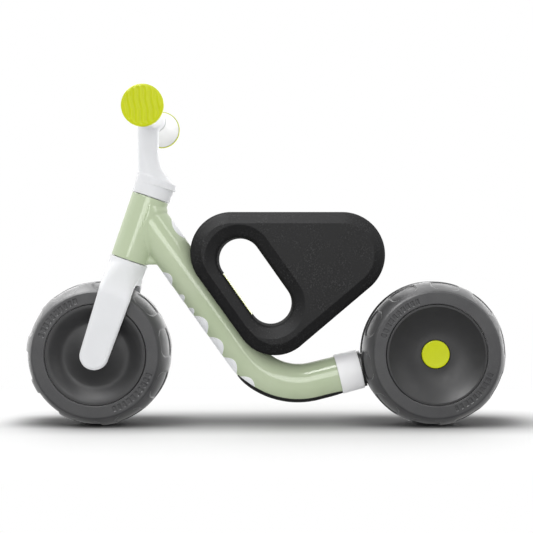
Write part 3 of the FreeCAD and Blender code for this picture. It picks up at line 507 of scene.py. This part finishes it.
def map_range(tree, value, low, high, to_low, to_high, kind="LINEAR"):
    """A value's range stretched onto another range, and held at its ends."""
    change = tree.nodes.new("ShaderNodeMapRange")
    change.interpolation_type = kind
    set_sockets(change, From_Min=low, From_Max=high, To_Min=to_low, To_Max=to_high)
    tree.links.new(value, change.inputs["Value"])
    return change.outputs["Result"]


class Paint:
    """A material's node tree, with short calls for the procedural parts."""

    def __init__(self, name, colour, roughness, **sockets):
        self.material = bpy.data.materials.new(name)
        self.material.use_nodes = True
        self.tree = self.material.node_tree
        self.shader = self.tree.nodes["Principled BSDF"]
        set_sockets(self.shader, Base_Color=(*colour, 1), Roughness=roughness, **sockets)
        self.place = self.node("ShaderNodeTexCoord").outputs["Object"]
        self.height = None

    def node(self, kind, **values):
        node = self.tree.nodes.new(kind)
        for key, value in values.items():
            setattr(node, key, value)
        return node

    def link(self, start, end):
        self.tree.links.new(start, end)

    def noise(self, scale, detail=3.0, roughness=0.5, stretch=(1, 1, 1)):
        mapping = set_sockets(self.node("ShaderNodeMapping"), Scale=stretch)
        self.link(self.place, mapping.inputs["Vector"])
        texture = self.node("ShaderNodeTexNoise")
        set_sockets(texture, Scale=scale, Detail=detail, Roughness=roughness)
        self.link(mapping.outputs["Vector"], texture.inputs["Vector"])
        return texture.outputs["Fac"]

    def cells(self, scale):
        texture = set_sockets(self.node("ShaderNodeTexVoronoi"), Scale=scale)
        self.link(self.place, texture.inputs["Vector"])
        return texture.outputs["Distance"]

    def band(self, value, low, high):
        return map_range(self.tree, value, low, high, 0.0, 1.0)

    def maths(self, operation, *values):
        """A Math node fed with numbers or with the outputs of other nodes."""
        node = self.node("ShaderNodeMath", operation=operation)
        for socket, value in zip(node.inputs, values):
            if isinstance(value, float):
                socket.default_value = value
            else:
                self.link(value, socket)
        return node.outputs[0]

    def mix(self, share, first, second):
        """Colour between two, by a share that changes over the surface."""
        mixer = self.node("ShaderNodeMix", data_type="RGBA")
        self.link(share, mixer.inputs["Factor"])
        for socket, colour in ((6, first), (7, second)):
            if isinstance(colour, tuple):
                mixer.inputs[socket].default_value = (*colour, 1)
            else:
                self.link(colour, mixer.inputs[socket])
        return mixer.outputs[2]

    def colour(self, output):
        self.link(output, self.shader.inputs["Base Color"])

    def roughness(self, noise, low, high):
        """Let the roughness wander between two values."""
        self.link(map_range(self.tree, noise, 0.3, 0.7, low, high), self.shader.inputs["Roughness"])

    def bump(self, output, depth_mm, strength):
        """Add a height in millimetres to the surface."""
        bump = set_sockets(self.node("ShaderNodeBump"), Strength=strength, Distance=depth_mm * MM)
        self.link(output, bump.inputs["Height"])
        if self.height is not None:
            self.link(self.height, bump.inputs["Normal"])
        self.height = bump.outputs["Normal"]
        self.link(self.height, self.shader.inputs["Normal"])


def srgb(red, green, blue):
    """Linear colour from 0-255 screen values."""
    def linear(value):
        value /= 255
        return value / 12.92 if value <= 0.04045 else ((value + 0.055) / 1.055) ** 2.4
    return linear(red), linear(green), linear(blue)


def mottled(paint, base, other, scale):
    """Colour that drifts between two close shades."""
    output = paint.mix(paint.band(paint.noise(scale, 4.0, 0.6), 0.35, 0.65), base, other)
    paint.colour(output)
    return output


def painted_metal():
    """Pale green powder paint: an even satin skin with a faint orange peel."""
    green = srgb(187, 198, 170)
    paint = Paint("green_powder_paint", green, 0.42, Specular_IOR_Level=0.0,
                  Coat_Weight=0.15, Coat_Roughness=0.1, Coat_IOR=2.4)
    mottled(paint, green, srgb(181, 194, 163), 14.0)
    paint.roughness(paint.noise(240.0, 4.0), 0.38, 0.46)
    paint.bump(paint.noise(700.0, 2.0), 0.02, 0.15)
    return paint.material


def moulded(name, base, other, roughness, grain=1600.0, grain_depth=0.03, **sockets):
    """Injection-moulded plastic with a fine spark-eroded grain."""
    paint = Paint(name, base, roughness, **sockets)
    mottled(paint, base, other, 22.0)
    paint.roughness(paint.noise(180.0, 5.0), roughness - 0.05, roughness + 0.06)
    paint.bump(paint.noise(grain, 3.0), grain_depth, 0.4)
    return paint.material


def tyre_rubber():
    """Foamed tyre skin: dull dark grey with fine pale specks."""
    paint = Paint("tyre_skin", srgb(60, 60, 61), 0.5, Specular_IOR_Level=0.3,
                  Sheen_Weight=0.5, Sheen_Roughness=0.35)
    base = mottled(paint, srgb(58, 58, 60), srgb(66, 66, 67), 30.0)
    speck = paint.band(paint.noise(1500.0, 2.0), 0.62, 0.72)
    paint.colour(paint.mix(speck, base, srgb(78, 78, 78)))
    paint.roughness(paint.noise(90.0, 4.0), 0.42, 0.55)
    paint.bump(paint.noise(1300.0, 4.0), 0.08, 0.5)
    return paint.material


def foam_skin():
    """Soft moulded foam: near black, with closed pores and pale flecks."""
    paint = Paint("seat_foam_skin", srgb(30, 30, 31), 0.6, Specular_IOR_Level=0.0,
                  Coat_Weight=0.075, Coat_Roughness=0.58, Coat_IOR=2.4)
    fleck = paint.band(paint.noise(620.0, 3.0, 0.7), 0.52, 0.66)
    base = paint.mix(fleck, srgb(21, 21, 22), srgb(50, 50, 51))
    cloud = paint.band(paint.noise(60.0, 3.0), 0.35, 0.65)
    paint.colour(paint.mix(cloud, base, srgb(25, 25, 26)))
    paint.roughness(paint.noise(400.0, 4.0), 0.52, 0.66)
    paint.bump(paint.cells(900.0), 0.25, 0.35)
    paint.bump(paint.noise(1600.0, 3.0), 0.12, 0.5)
    return paint.material


def print_ink():
    white = srgb(244, 245, 247)
    paint = Paint("white_print", white, 0.6, Specular_IOR_Level=0.1)
    mottled(paint, white, srgb(236, 238, 241), 90.0)
    return paint.material


def plated_steel():
    grey_metal = srgb(176, 178, 182)
    paint = Paint("plated_steel", grey_metal, 0.28, Metallic=1.0)
    mottled(paint, grey_metal, srgb(160, 162, 166), 60.0)
    paint.roughness(paint.noise(300.0, 4.0, 0.6, (1, 8, 1)), 0.22, 0.36)
    return paint.material


def translucent(depth):
    """Sockets of a skin that lets light in to a depth in metres."""
    return {"Subsurface_Weight": 0.4, "Subsurface_Radius": (depth, depth, depth), "Subsurface_Scale": 1.0}


def grip_white():
    paint = Paint("grip_soft_white", srgb(226, 226, 226), 0.5, **translucent(0.006))
    mottled(paint, srgb(222, 222, 222), srgb(216, 216, 216), 20.0)
    paint.roughness(paint.noise(200.0, 4.0), 0.46, 0.56)
    paint.bump(paint.noise(1500.0, 3.0), 0.05, 0.4)
    return paint.material


MATERIALS = {
    "frame_paint": painted_metal(),
    "white_plastic": moulded("white_plastic_skin", srgb(220, 221, 223), srgb(217, 218, 220), 0.52,
                             Specular_IOR_Level=0.15, **translucent(0.008)),
    "white_grip": grip_white(),
    "lime_plastic": moulded("lime_plastic_skin", srgb(194, 203, 0), srgb(188, 197, 0), 0.36,
                            Specular_IOR_Level=0.18),
    "tyre": tyre_rubber(),
    "hub_plastic": moulded("hub_plastic_skin", srgb(42, 42, 43), srgb(47, 47, 48), 0.45, 1200.0, 0.05,
                           Specular_IOR_Level=0.3),
    "seat_foam": foam_skin(),
    "black_plastic": moulded("black_plastic_skin", srgb(10, 10, 10), srgb(14, 14, 14), 0.42),
    "black_rubber": moulded("black_rubber_skin", srgb(10, 10, 10), srgb(16, 16, 16), 0.65, 900.0, 0.08),
    "bush_plastic": moulded("bush_plastic_skin", srgb(40, 40, 42), srgb(46, 46, 48), 0.40),
    "steel": plated_steel(),
}


# ---- frame

def build_frame():
    low = (TUBE_START[0] - 45, -24, VERTEX[1] - 30)
    high = (TUBE_END[0] + 3, 24, HEAD[2] + HEAD_LENGTH + 6)
    tube = surface("main_frame", frame_field, low, high, 1.6)
    finish_piece(tube, "frame", "frame_paint", "frame_tube")


def build_sleeve():
    way = np.array([TAIL[0], 0, TAIL[1]])
    start = np.array([TUBE_END[0], 0, TUBE_END[1]]) - way * SLEEVE_LENGTH
    corners = [(SLEEVE_FRONT_BORE, 0, 0.4), (SLEEVE_FRONT_RADIUS, 0, 0.8),
               (SLEEVE_REAR_RADIUS, SLEEVE_LENGTH, 0.8), (SLEEVE_REAR_BORE, SLEEVE_LENGTH, 0.2)]
    sleeve = lathe("tail_sleeve", rounded_corners(corners), start, 128, way)
    # painted light: the sleeve gets a brighter copy of the white plastic, to lift the shade that falls on it
    # between the seat and the rear wheels
    paint = moulded("sleeve_white_painted_light_skin", srgb(238, 238, 239), srgb(233, 233, 235), 0.5,
                    Specular_IOR_Level=0.25)
    finish_piece(sleeve, "frame", "white_plastic", "tail_collar", crease=40, paint=paint)


def route_point(along):
    """A place on the main tube's centre line and the direction square to it, on its under side."""
    if along < DOWN_RUN:
        place, way = TUBE_START + DOWN * along, DOWN
    elif along > DOWN_RUN + ARC_RUN:
        place, way = BEND_LAST + TAIL * (along - DOWN_RUN - ARC_RUN), TAIL
    else:
        angle = (along - DOWN_RUN) / BEND_RADIUS + ARC_START
        out = np.array([math.cos(angle), math.sin(angle)])
        place, way = BEND_MIDDLE + out * BEND_RADIUS, np.array([-out[1], out[0]])
    return place, np.array([way[1], -way[0]])


def printed_spot(along, around, half_along, half_around):
    """Points and faces of an oval of print that wraps round the main tube."""
    rings, spokes, points = 6, 40, []
    for ring in range(rings + 1):
        for spoke in range(spokes):
            angle = 2 * math.pi * spoke / spokes
            share = min(ring, rings - 1) / (rings - 1)
            place, under = route_point(along + half_along * share * math.cos(angle))
            radius = tube_radius(along) + (PRINT_HEIGHT if ring < rings else -PRINT_SINK)
            turn = math.radians(around) + half_around * share * math.sin(angle) / radius
            reach = radius * math.sin(turn)
            points.append((place[0] + under[0] * reach, -radius * math.cos(turn),
                           place[1] + under[1] * reach))
    return points, ring_faces(rings, spokes)


def build_print():
    """Plain white ovals printed in a row along the tube's under side, and one on top."""
    points, faces = [], []
    for spot in PRINT_SPOTS:
        new_points, new_faces = printed_spot(*spot)
        faces += [tuple(index + len(points) for index in face) for face in new_faces]
        points += new_points
    piece = new_piece("frame_print", points, faces)
    close_poles(piece)
    finish_piece(piece, "frame", "frame_paint", crease=40, paint=print_ink())


def build_guard():
    """Thin strip that hugs the under side of the bend, thinner towards both ends."""
    first = DOWN_RUN + (DOWN_ANGLE - GUARD_FRONT_ANGLE) * BEND_RADIUS
    last = ROUTE_LENGTH - (TUBE_END[0] - GUARD_REAR_X) / TAIL[0]
    points, spokes = [], 24
    stations = np.linspace(first, last, 80)
    for index, along in enumerate(stations):
        share = abs(2 * index / (len(stations) - 1) - 1)
        taper = share ** 8
        thick = GUARD_THICKNESS * (1 - GUARD_THINNING * taper)
        place, under = route_point(along)
        for layer, turns in ((thick, np.linspace(-1, 1, spokes)), (0.05, np.linspace(1, -1, spokes))):
            for turn in turns:
                radius = tube_radius(along) + layer * (1 - 0.6 * abs(turn) ** 6)
                angle = turn * GUARD_HALF_ANGLE * (1 - GUARD_NARROWING * taper)
                points.append((place[0] + under[0] * radius * math.cos(angle), radius * math.sin(angle),
                               place[1] + under[1] * radius * math.cos(angle)))
    ring = 2 * spokes
    ends = [range(ring)[::-1], range(len(points) - ring, len(points))]
    guard = new_piece("bend_guard", points, ring_faces(len(stations) - 1, ring) + ends)
    finish_piece(guard, "frame", "black_rubber", "underside_guard", crease=40)


# ---- fork

def fork_field(x, y, z):
    """A round crown that spreads into two flat legs, with an arch for the tyre between them."""
    back, side, up = head_frame(x, y, z)
    side = np.abs(side)
    spread = np.clip(-up / SPREAD_DEPTH, 0, 1)
    reach = smooth_step(spread)
    tuck = SHOULDER_TUCK * 4 * spread * (1 - spread)
    centre = LEG_TOP[0] * spread - tuck / 2
    half = FORK_CROWN_RADIUS + (LEG_TOP[2] - FORK_CROWN_RADIUS) * spread - tuck / 2
    wide = FORK_CROWN_RADIUS + (FORK_HALF_WIDTH - FORK_CROWN_RADIUS) * reach
    corner = half + (LEG_CORNER - half) * reach
    shoulders = rounded_box(np.abs(back - centre) - half, side - wide, corner)
    crown = np.maximum(np.hypot(back, side) - FORK_CROWN_RADIUS, -CROWN_DEPTH - up)
    profile = capsule_2d(back, up, LEG_TOP[:2], (AXLE_TRAIL, -AXLE_DROP), LEG_TOP[2], LEG_END_RADIUS)
    legs = rounded_box(profile, side - FORK_HALF_WIDTH, LEG_CORNER)
    outer = smooth_join(np.where(up > -SPREAD_DEPTH, shoulders, legs), crown, 3.0)
    arch_side, arch_up = FORK_GAP_HALF - ARCH_RADIUS, -CROWN_DEPTH - ARCH_RADIUS
    on_arc = (side > arch_side) & (up > arch_up)
    room = np.where(on_arc, np.hypot(side - arch_side, up - arch_up) - ARCH_RADIUS,
                    np.maximum(side - FORK_GAP_HALF, up + CROWN_DEPTH))
    return smooth_meet(smooth_meet(outer, -room, 2.0), up + HEADSET_GAP, 1.0)


def build_fork():
    low = (FRONT_HUB[0] - 24, -58, TYRE_RADIUS - 20)
    high = (HEAD[0] + 30, 58, HEAD[2] + 10)
    piece = surface("fork_shell", fork_field, low, high, 1.5)
    finish_piece(piece, "steering", "white_plastic", "fork")


# ---- stem and handlebar

def stem_field(x, y, z):
    """Collar, a neck that flares out to meet it, and the boss for the bar."""
    back, side, up = head_frame(x, y, z)
    low, middle = HEAD_LENGTH + HEADSET_GAP, STEM_COLLAR_HEIGHT / 2
    collar = smooth_meet(np.hypot(back, side) - STEM_COLLAR_RADIUS, np.abs(up - low - middle) - middle, 0.7)
    flare = np.clip((NECK_FLARE_TOP - up) / (NECK_FLARE_TOP - low - STEM_COLLAR_HEIGHT), 0, 1)
    rear = NECK_REAR + NECK_FLARE_BACK * flare ** NECK_BACK_POWER
    wide = NECK_HALF_Y + NECK_FLARE_SIDE * flare ** NECK_SIDE_POWER
    neck = rounded_box(np.abs(x - (rear + NECK_FRONT) / 2) - (rear - NECK_FRONT) / 2,
                       np.abs(side) - wide, NECK_CORNER + NECK_FLARE_CORNER * flare)
    neck = np.maximum(neck, np.maximum(z - BAR[2], low + NECK_START - up))
    boss = np.hypot(x - BAR[0], z - BAR[2]) - BAR_BOSS_RADIUS
    boss = smooth_meet(boss, np.abs(side) - BAR_BOSS_HALF, 3.0)
    return smooth_join(smooth_join(collar, neck, 2.5), boss, 5.0)


def build_stem():
    low = (HEAD[0] - 6, -26, HEAD[2] + HEAD_LENGTH - 12)
    high = (BAR[0] + 24, 26, BAR[2] + 20)
    piece = surface("stem_shell", stem_field, low, high, 1.5)
    finish_piece(piece, "steering", "white_plastic", "stem")


def build_grips():
    """Trumpet-shaped soft grips, each closed by a ribbed cap."""
    outline = [(GRIP_BORE, GRIP_START), (GRIP_RADIUS - GRIP_CHAMFER, GRIP_START)]
    for height in np.linspace(GRIP_START + GRIP_CHAMFER, BAR_END, 30):
        flare = np.clip((height - GRIP_WAIST) / (BAR_END - GRIP_WAIST), 0, 1)
        outline.append((GRIP_RADIUS + (GRIP_FLARE - GRIP_RADIUS) * flare ** GRIP_FLARE_POWER, height))
    outline = [*outline, (GRIP_FLARE - 0.8, BAR_END), (GRIP_BORE, BAR_END)]
    left = lathe("soft_grip_left", outline, BAR_MIDDLE, 128)
    finish_pair(left, "steering", "white_grip", "grip", 40)


def cap_relief(turn, radius, height):
    """Shallow wavy ribs across the cap's face, a little off upright, inside a plain border."""
    across, up = radius * np.cos(turn), radius * np.sin(turn)
    wave = RIB_WAVE * np.sin(up / RIB_WAVE_REACH)
    lean = across * math.cos(RIB_LEAN) - up * math.sin(RIB_LEAN) + wave
    ribs = 0.5 * np.cos(2 * math.pi * lean / RIB_PITCH) * RIB_HEIGHT
    inside = np.clip((CAP_FLANGE - CAP_BORDER - radius) / 0.8, 0, 1)
    front = np.clip(height - CAP_END + 2, 0, 1)
    return ribs * inside * front


def build_caps():
    corners = [(0, BAR_END, 0), (CAP_FLANGE, BAR_END, 0.6), (CAP_FLANGE, CAP_END - 1.2, 1.6),
               (CAP_FLANGE - 2.4, CAP_END - 0.6, 2.0), (0, CAP_END - 0.2, 0)]
    outline = even_spacing(rounded_corners(corners, closed=False), 0.45, closed=False)
    left = lathe("bar_cap_left", outline, BAR_MIDDLE, 256, closed=False, shape=cap_relief)
    finish_pair(left, "steering", "lime_plastic", "grip_cap", 40)


# ---- wheels

def pad(turn, height, phase, centre, half_width):
    """Depth of one row of sunken tread pads, which are rectangles with round corners."""
    pitch = math.radians(PAD_PITCH)
    offset = (turn - math.radians(phase) + pitch / 2) % pitch - pitch / 2
    along = np.maximum(np.abs(offset) * TYRE_RADIUS - PAD_HALF_LENGTH + PAD_CORNER, 0)
    across = np.maximum(np.abs(height - centre) - half_width + PAD_CORNER, 0)
    distance = np.hypot(along, across) - PAD_CORNER
    return -PAD_DEPTH * smooth_step(np.clip(0.5 - distance / PAD_WALL, 0, 1))


def sidewall_relief(turn, radius, height):
    """Two arcs of short plain grooves on the sidewall."""
    flat = np.abs(height) > TYRE_HALF_WIDTH - 0.4
    middle = (radius > GROOVE_LOW) & (radius < GROOVE_HIGH)
    result = np.zeros_like(radius)
    for centre in GROOVE_ARCS:
        offset = (np.degrees(turn) - centre + 180) % 360 - 180
        inside = np.abs(offset) < GROOVE_ARC_HALF
        groove = np.abs((offset / GROOVE_PITCH) % 1 - 0.5) < GROOVE_SHARE
        result -= np.where(inside & groove & flat & middle, GROOVE_DEPTH, 0)
    return result


def front_tread(turn, radius, height):
    """Two rows of pads, one half a pitch ahead of the other."""
    left, right = [pad(turn, np.abs(height), phase, PAD_CENTRE, PAD_HALF_WIDTH)
                   for phase in (FRONT_PAD_PHASE, FRONT_PAD_PHASE + PAD_PITCH / 2)]
    rows = np.where(height > 0, left, right)
    return np.where(radius > SIDEWALL_RADIUS + 1, rows, 0) + sidewall_relief(turn, radius, height)


def rear_tread(turn, radius, height):
    row = pad(turn, height, REAR_PAD_PHASE, REAR_PAD_CENTRE, REAR_PAD_HALF_WIDTH)
    return np.where(radius > SIDEWALL_RADIUS + 1, row, 0) + sidewall_relief(turn, radius, height)


def half_tyre_corners():
    """Crown from the middle out, shoulder and sidewall in to the disc."""
    spread = SHOULDER_HALF_WIDTH - TYRE_FLAT
    drop = TYRE_RADIUS - SHOULDER_RADIUS
    arc = (spread ** 2 + drop ** 2) / (2 * drop)
    crown = [(TYRE_RADIUS - arc + arc * math.cos(angle), TYRE_FLAT + arc * math.sin(angle), 0)
             for angle in np.linspace(0, math.asin(spread / arc), 12)]
    crown[-1] = (*crown[-1][:2], 1.2)
    return crown + [(SIDEWALL_RADIUS, TYRE_HALF_WIDTH, 0.7), (DISC_SEAT, TYRE_HALF_WIDTH, 0.6),
                    (DISC_SEAT, HUB_HALF_WIDTH, 0), (HUB_RADIUS, HUB_HALF_WIDTH, 0)]


def build_front_tyre():
    half = half_tyre_corners()
    other = [(radius, -height, corner) for radius, height, corner in reversed(half)]
    outline = even_spacing(rounded_corners(other + half), 1.2)
    tyre = lathe("wide_front_tyre", outline, FRONT_HUB, 410, shape=front_tread)
    finish_piece(tyre, "front_wheel", "tyre", "front_tyre", crease=32)


def build_rear_tyres():
    """Two half tyres side by side, with a narrow gap between them at the middle."""
    gap = WHEEL_GAP_HALF
    inner = [(HUB_RADIUS, gap + 3.2, 0), (DISC_SEAT, gap + 3.2, 0), (DISC_SEAT, gap, 0.8),
             (TYRE_RADIUS - 3, gap, 1.5), (TYRE_RADIUS, gap + 1.5, 2.0)]
    outline = even_spacing(rounded_corners(inner + half_tyre_corners()[1:]), 1.0)
    left = lathe("rear_half_tyre_left", outline, REAR_HUB, 540, shape=rear_tread)
    finish_pair(left, "rear_wheel", "tyre", "rear_tyre", 32)


def eased(start, end):
    """A smooth S-shaped run between two (radius, height) points, level at both ends."""
    (radius, height), run, rise = start, end[0] - start[0], end[1] - start[1]
    return [(radius + run * share, height + rise * smooth_step(share))
            for share in np.linspace(0, 1, 14)]


def build_front_discs():
    """Covers that dip to a ring-shaped trough and rise again round the axle."""
    half, top = HUB_HALF_WIDTH, HUB_HALF_WIDTH + WALL
    trough = (TROUGH_RADIUS, DISC_LIP - TROUGH_DEPTH)
    hidden = [(BUSH_RADIUS, half), (HUB_FACE - 4, half - 1), (TROUGH_RADIUS, trough[1] - WALL),
              (DISC_RADIUS - 7, half - 2), *DISC_RIM]
    face = eased((DISC_EDGE, DISC_LIP), trough) + eased(trough, (HUB_TOP_RADIUS, top))
    outline = even_spacing(np.array(hidden + face + [(BUSH_RADIUS, top)]), 1.2)
    left = lathe("front_wheel_cover_left", outline, FRONT_HUB)
    finish_pair(left, "front_wheel", "hub_plastic", "front_disc", 35)


def build_rear_discs():
    """Bowl-shaped covers with a round cap at the middle."""
    floor, rim = TYRE_HALF_WIDTH - DISH_DEPTH, CAP_RADIUS + 0.5
    bowl = [(DISC_EDGE + (DISH_FLOOR - DISC_EDGE) * share, floor + (DISC_LIP - floor) * (1 - share) ** 2)
            for share in np.linspace(0, 1, 24)]
    hidden = [(rim, floor - WALL), (DISH_FLOOR + 8, floor - WALL), (DISC_RADIUS - 7, HUB_HALF_WIDTH - 3),
              *DISC_RIM]
    outline = even_spacing(np.array(hidden + bowl + [(rim + 0.4, floor), (rim, floor - 0.4)]), 1.2)
    left = lathe("rear_wheel_cover_left", outline, REAR_HUB)
    finish_pair(left, "rear_wheel", "hub_plastic", "rear_disc", 35)
    top = floor + CAP_RISE
    face = [(0, top - CAP_THICKNESS, 0), (CAP_RADIUS, top - CAP_THICKNESS, 0.4), (CAP_RADIUS, top, 1.0),
            (CAP_RADIUS - 4, top - 0.3, 2.0), (0, top - 0.7, 0)]
    cap = lathe("hub_cap_left", rounded_corners(face, closed=False), REAR_HUB, 128, closed=False)
    finish_pair(cap, "rear_wheel", "lime_plastic", "rear_cap", 40)


# ---- seat

def seat_outline_field(x, z):
    """Distance to the seat's side view, three circles wrapped by a belt, and well below 0 in its core."""
    low, rear, front = SEAT_CORNERS
    distance, core = np.full(np.shape(x), 1e3), np.full(np.shape(x), -1e3)
    for first, second in ((low, rear), (rear, front), (front, low)):
        belt = capsule_2d(x, z, first[:2], second[:2], first[2], second[2])
        dx, dz = second[0] - first[0], second[1] - first[1]
        distance = np.minimum(distance, belt)
        core = np.maximum(core, ((x - first[0]) * dz - (z - first[1]) * dx) / math.hypot(dx, dz))
    return np.where(core < 0, np.minimum(distance, core - 20), distance)


def bevel(outline, side, width, drop):
    """Distance to the slope that takes off the edge between an outline and the seat's side wall."""
    lean = drop / width
    return (outline + (side - SEAT_HALF_WIDTH + drop) / lean) * lean / math.hypot(1, lean)


def seat_field(x, y, z):
    """Bevelled block with a hand slot, sunken beds for the slot's trim and a channel for the tube."""
    side = np.abs(y)
    outer = seat_outline_field(x, z)
    slot_radius = SLOT_RADIUS + TRIM_PROUD
    slot = capsule_2d(x, z, *SLOT_ENDS, slot_radius, slot_radius)
    solid = smooth_meet(outer, bevel(outer, side, BEVEL_WIDTH, BEVEL_DROP), 5.0)
    hole = smooth_meet(-slot, bevel(-slot, side, HOLE_WIDTH, HOLE_DROP), 4.0)
    block = np.maximum(np.maximum(solid, side - SEAT_HALF_WIDTH), hole)
    start, end = np.array(SLOT_ENDS)
    (dx, dz), (middle_x, middle_z) = (end - start) / math.dist(start, end), (start + end) / 2
    along = np.abs((x - middle_x) * dx + (z - middle_z) * dz)
    out = (z - middle_z) * dx - (x - middle_x) * dz
    room = np.maximum(np.maximum(along - TRIM_HALF_LENGTH, side - TRIM_HALF_WIDTH),
                      np.abs(np.abs(out) - SLOT_RADIUS) - TRIM_DEPTH)
    block = np.maximum(block, -np.where(out > 0, room, 1e3))
    return smooth_meet(block, CHANNEL_GAP - tube_field(x, y, z), 0.8)


def build_seat():
    low, rear, front = SEAT_CORNERS
    start = (front[0] - front[2] - 3, -SEAT_HALF_WIDTH - 2, low[1] - low[2] - 3)
    end = (rear[0] + rear[2] + 3, SEAT_HALF_WIDTH + 2, rear[1] + rear[2] + 3)
    seat = surface("foam_seat", seat_field, start, end, 1.4)
    finish_piece(seat, "frame", "seat_foam", "seat_foam")


# ---- nodes that keep their CAD shape

def dress_nodes():
    for entry in frame["record"]["subparts"]:
        node = nodes[entry["node"]]
        node.data.materials.clear()
        node.data.materials.append(MATERIALS[entry["material_slot"]])


# ---- studio

def mirror_light(name, place, aim, width, height, power):
    """A soft box that shows only in reflections, as a streak on glossy parts."""
    light = bpy.data.lights.new(name, "AREA")
    light.shape = "RECTANGLE"
    light.size, light.size_y = width, height
    light.energy = power
    lamp = add_object(name, light)
    lamp.location = place
    lamp.visible_diffuse = False
    lamp.rotation_euler = (Vector(aim) - Vector(place)).to_track_quat("-Z", "Y").to_euler()


def smooth_band(paint, value, near, far, middle=0.0):
    """1 where a coordinate is within near of the middle, falling smoothly to 0 at far."""
    away = paint.maths("ABSOLUTE", paint.maths("SUBTRACT", value, middle))
    return map_range(paint.tree, away, near, far, 1.0, 0.0, "SMOOTHSTEP")


def source(tree, kind, **sockets):
    """The output of a simple shader with its sockets set."""
    return set_sockets(tree.nodes.new("ShaderNode" + kind), **sockets).outputs[0]


def mix_shaders(tree, share, first, second):
    """The first shader where the share is 0, and the second where it is 1."""
    mixer = tree.nodes.new("ShaderNodeMixShader")
    for socket, output in zip(mixer.inputs, (share, first, second)):
        tree.links.new(output, socket)
    return mixer.outputs[0]


def grey(value, *alpha):
    return (value, value, value, *alpha)


def build_floor():
    """Pale floor with a long soft painted shadow under the bike and a darker painted shadow under each wheel,
    fading to plain white further out.

    The camera sees it like this; as a source of light it is dim in front and bright behind."""
    corners = [(-1, -1, 0), (1, -1, 0), (1, 1, 0), (-1, 1, 0)]
    floor = new_piece("studio_floor", FLOOR_REACH * np.array(corners), [range(4)])
    paint = Paint("studio_floor", grey(FLOOR_PALE), 0.8, Specular_IOR_Level=0.1)
    tree = paint.tree
    split = paint.node("ShaderNodeSeparateXYZ")
    paint.link(paint.place, split.inputs[0])
    along, deep = split.outputs["X"], split.outputs["Y"]
    # painted shadow: the floor colour darkens in a long soft band under the bike
    shade = paint.maths("MULTIPLY", smooth_band(paint, along, 0.20, 0.345, SHADOW_X),
                        smooth_band(paint, deep, 0.0, 0.13, SHADOW_Y))
    shaded = paint.mix(shade, grey(FLOOR_PALE), grey(FLOOR_SHADE))
    # painted shadow: a darker patch of floor colour under each wheel
    for hub in (FRONT_HUB, REAR_HUB):
        painted_wheel_shadow = paint.maths("MULTIPLY", smooth_band(paint, along, POOL_HALF_LENGTH, POOL_FADE, hub[0] * MM),
                           smooth_band(paint, deep, 0.012, 0.072, SHADOW_Y))
        shaded = paint.mix(painted_wheel_shadow, shaded, grey(POOL_SHADE))
    paint.colour(shaded)
    glow = source(tree, "Emission", Strength=1.0)
    backdrop = source(tree, "Emission", Strength=MIRROR_BACK * MIRROR_WALL)
    bounce = source(tree, "BsdfDiffuse", Color=grey(FLOOR_BOUNCE, 1))
    dim = source(tree, "BsdfDiffuse", Color=grey(FLOOR_MIRROR, 1))
    path = paint.node("ShaderNodeLightPath").outputs
    mirrored_floor = mix_shaders(tree, paint.band(deep, 0.1, 0.4), dim, backdrop)
    lighting = mix_shaders(tree, path["Is Glossy Ray"], bounce, mirrored_floor)
    visible = mix_shaders(tree, smooth_band(paint, deep, 0.10, 0.4), glow, paint.shader.outputs[0])
    seen = mix_shaders(tree, path["Is Camera Ray"], lighting, visible)
    paint.link(seen, tree.nodes["Material Output"].inputs["Surface"])
    floor.data.materials.append(paint.material)


def sky(tree, direction, low, high, strength_low, strength_high):
    """A white background whose strength changes with how far a ray points along a direction."""
    shader = set_sockets(tree.nodes.new("ShaderNodeBackground"), Color=grey(1, 1))
    facing = tree.nodes.new("ShaderNodeVectorMath")
    facing.operation = "DOT_PRODUCT"
    facing.inputs[1].default_value = direction
    tree.links.new(tree.nodes.new("ShaderNodeTexCoord").outputs["Generated"], facing.inputs[0])
    strength = map_range(tree, facing.outputs["Value"], low, high, strength_low, strength_high)
    tree.links.new(strength, shader.inputs["Strength"])
    return shader.outputs[0]


def build_world():
    """White to the camera, an even soft light on surfaces, and brighter behind in reflections."""
    world = bpy.data.worlds.new("studio")
    bpy.context.scene.world = world
    world.use_nodes = True
    tree = world.node_tree
    path = tree.nodes.new("ShaderNodeLightPath").outputs
    soft = sky(tree, (0, 0, 1), -1.0, 1.0, SOFT_LOW, SOFT_HIGH)
    reflected = sky(tree, (0, 0.95, 0.3), -0.3, 1.0, MIRROR_FRONT, MIRROR_BACK)
    plain = set_sockets(tree.nodes["Background"], Color=grey(1, 1))
    lighting = mix_shaders(tree, path["Is Glossy Ray"], soft, reflected)
    seen = mix_shaders(tree, path["Is Camera Ray"], lighting, plain.outputs["Background"])
    tree.links.new(seen, tree.nodes["World Output"].inputs["Surface"])


def build_studio():
    bpy.context.scene.view_settings.view_transform = "Standard"
    build_floor()
    build_world()
    mirror_light("overhead", (-0.7, -0.2, 1.5), (0, 0, 0), 2.2, 0.9, 95)
    mirror_light("behind_camera", (-0.2, -2.6, 0.9), (0, 0, 0.2), 1.6, 1.5, 52)
    mirror_light("right_strip", (1.4, -1.0, 1.2), (0, 0, 0.15), 0.45, 2.0, 16)


def build_camera():
    """A long lens half way up the bike, square to its left side."""
    camera = bpy.data.cameras.new("photo_camera")
    camera.lens = 85
    camera.sensor_width = 36
    view = add_object("photo_camera", camera)
    view.location = CAMERA_PLACE
    view.rotation_euler = (math.radians(90), 0, 0)
    bpy.context.scene.camera = view


for build in (build_frame, build_print, build_guard, build_sleeve, build_fork, build_stem, build_grips,
              build_caps, build_front_tyre, build_rear_tyres, build_front_discs, build_rear_discs,
              build_seat, dress_nodes, build_studio, build_camera):
    build()
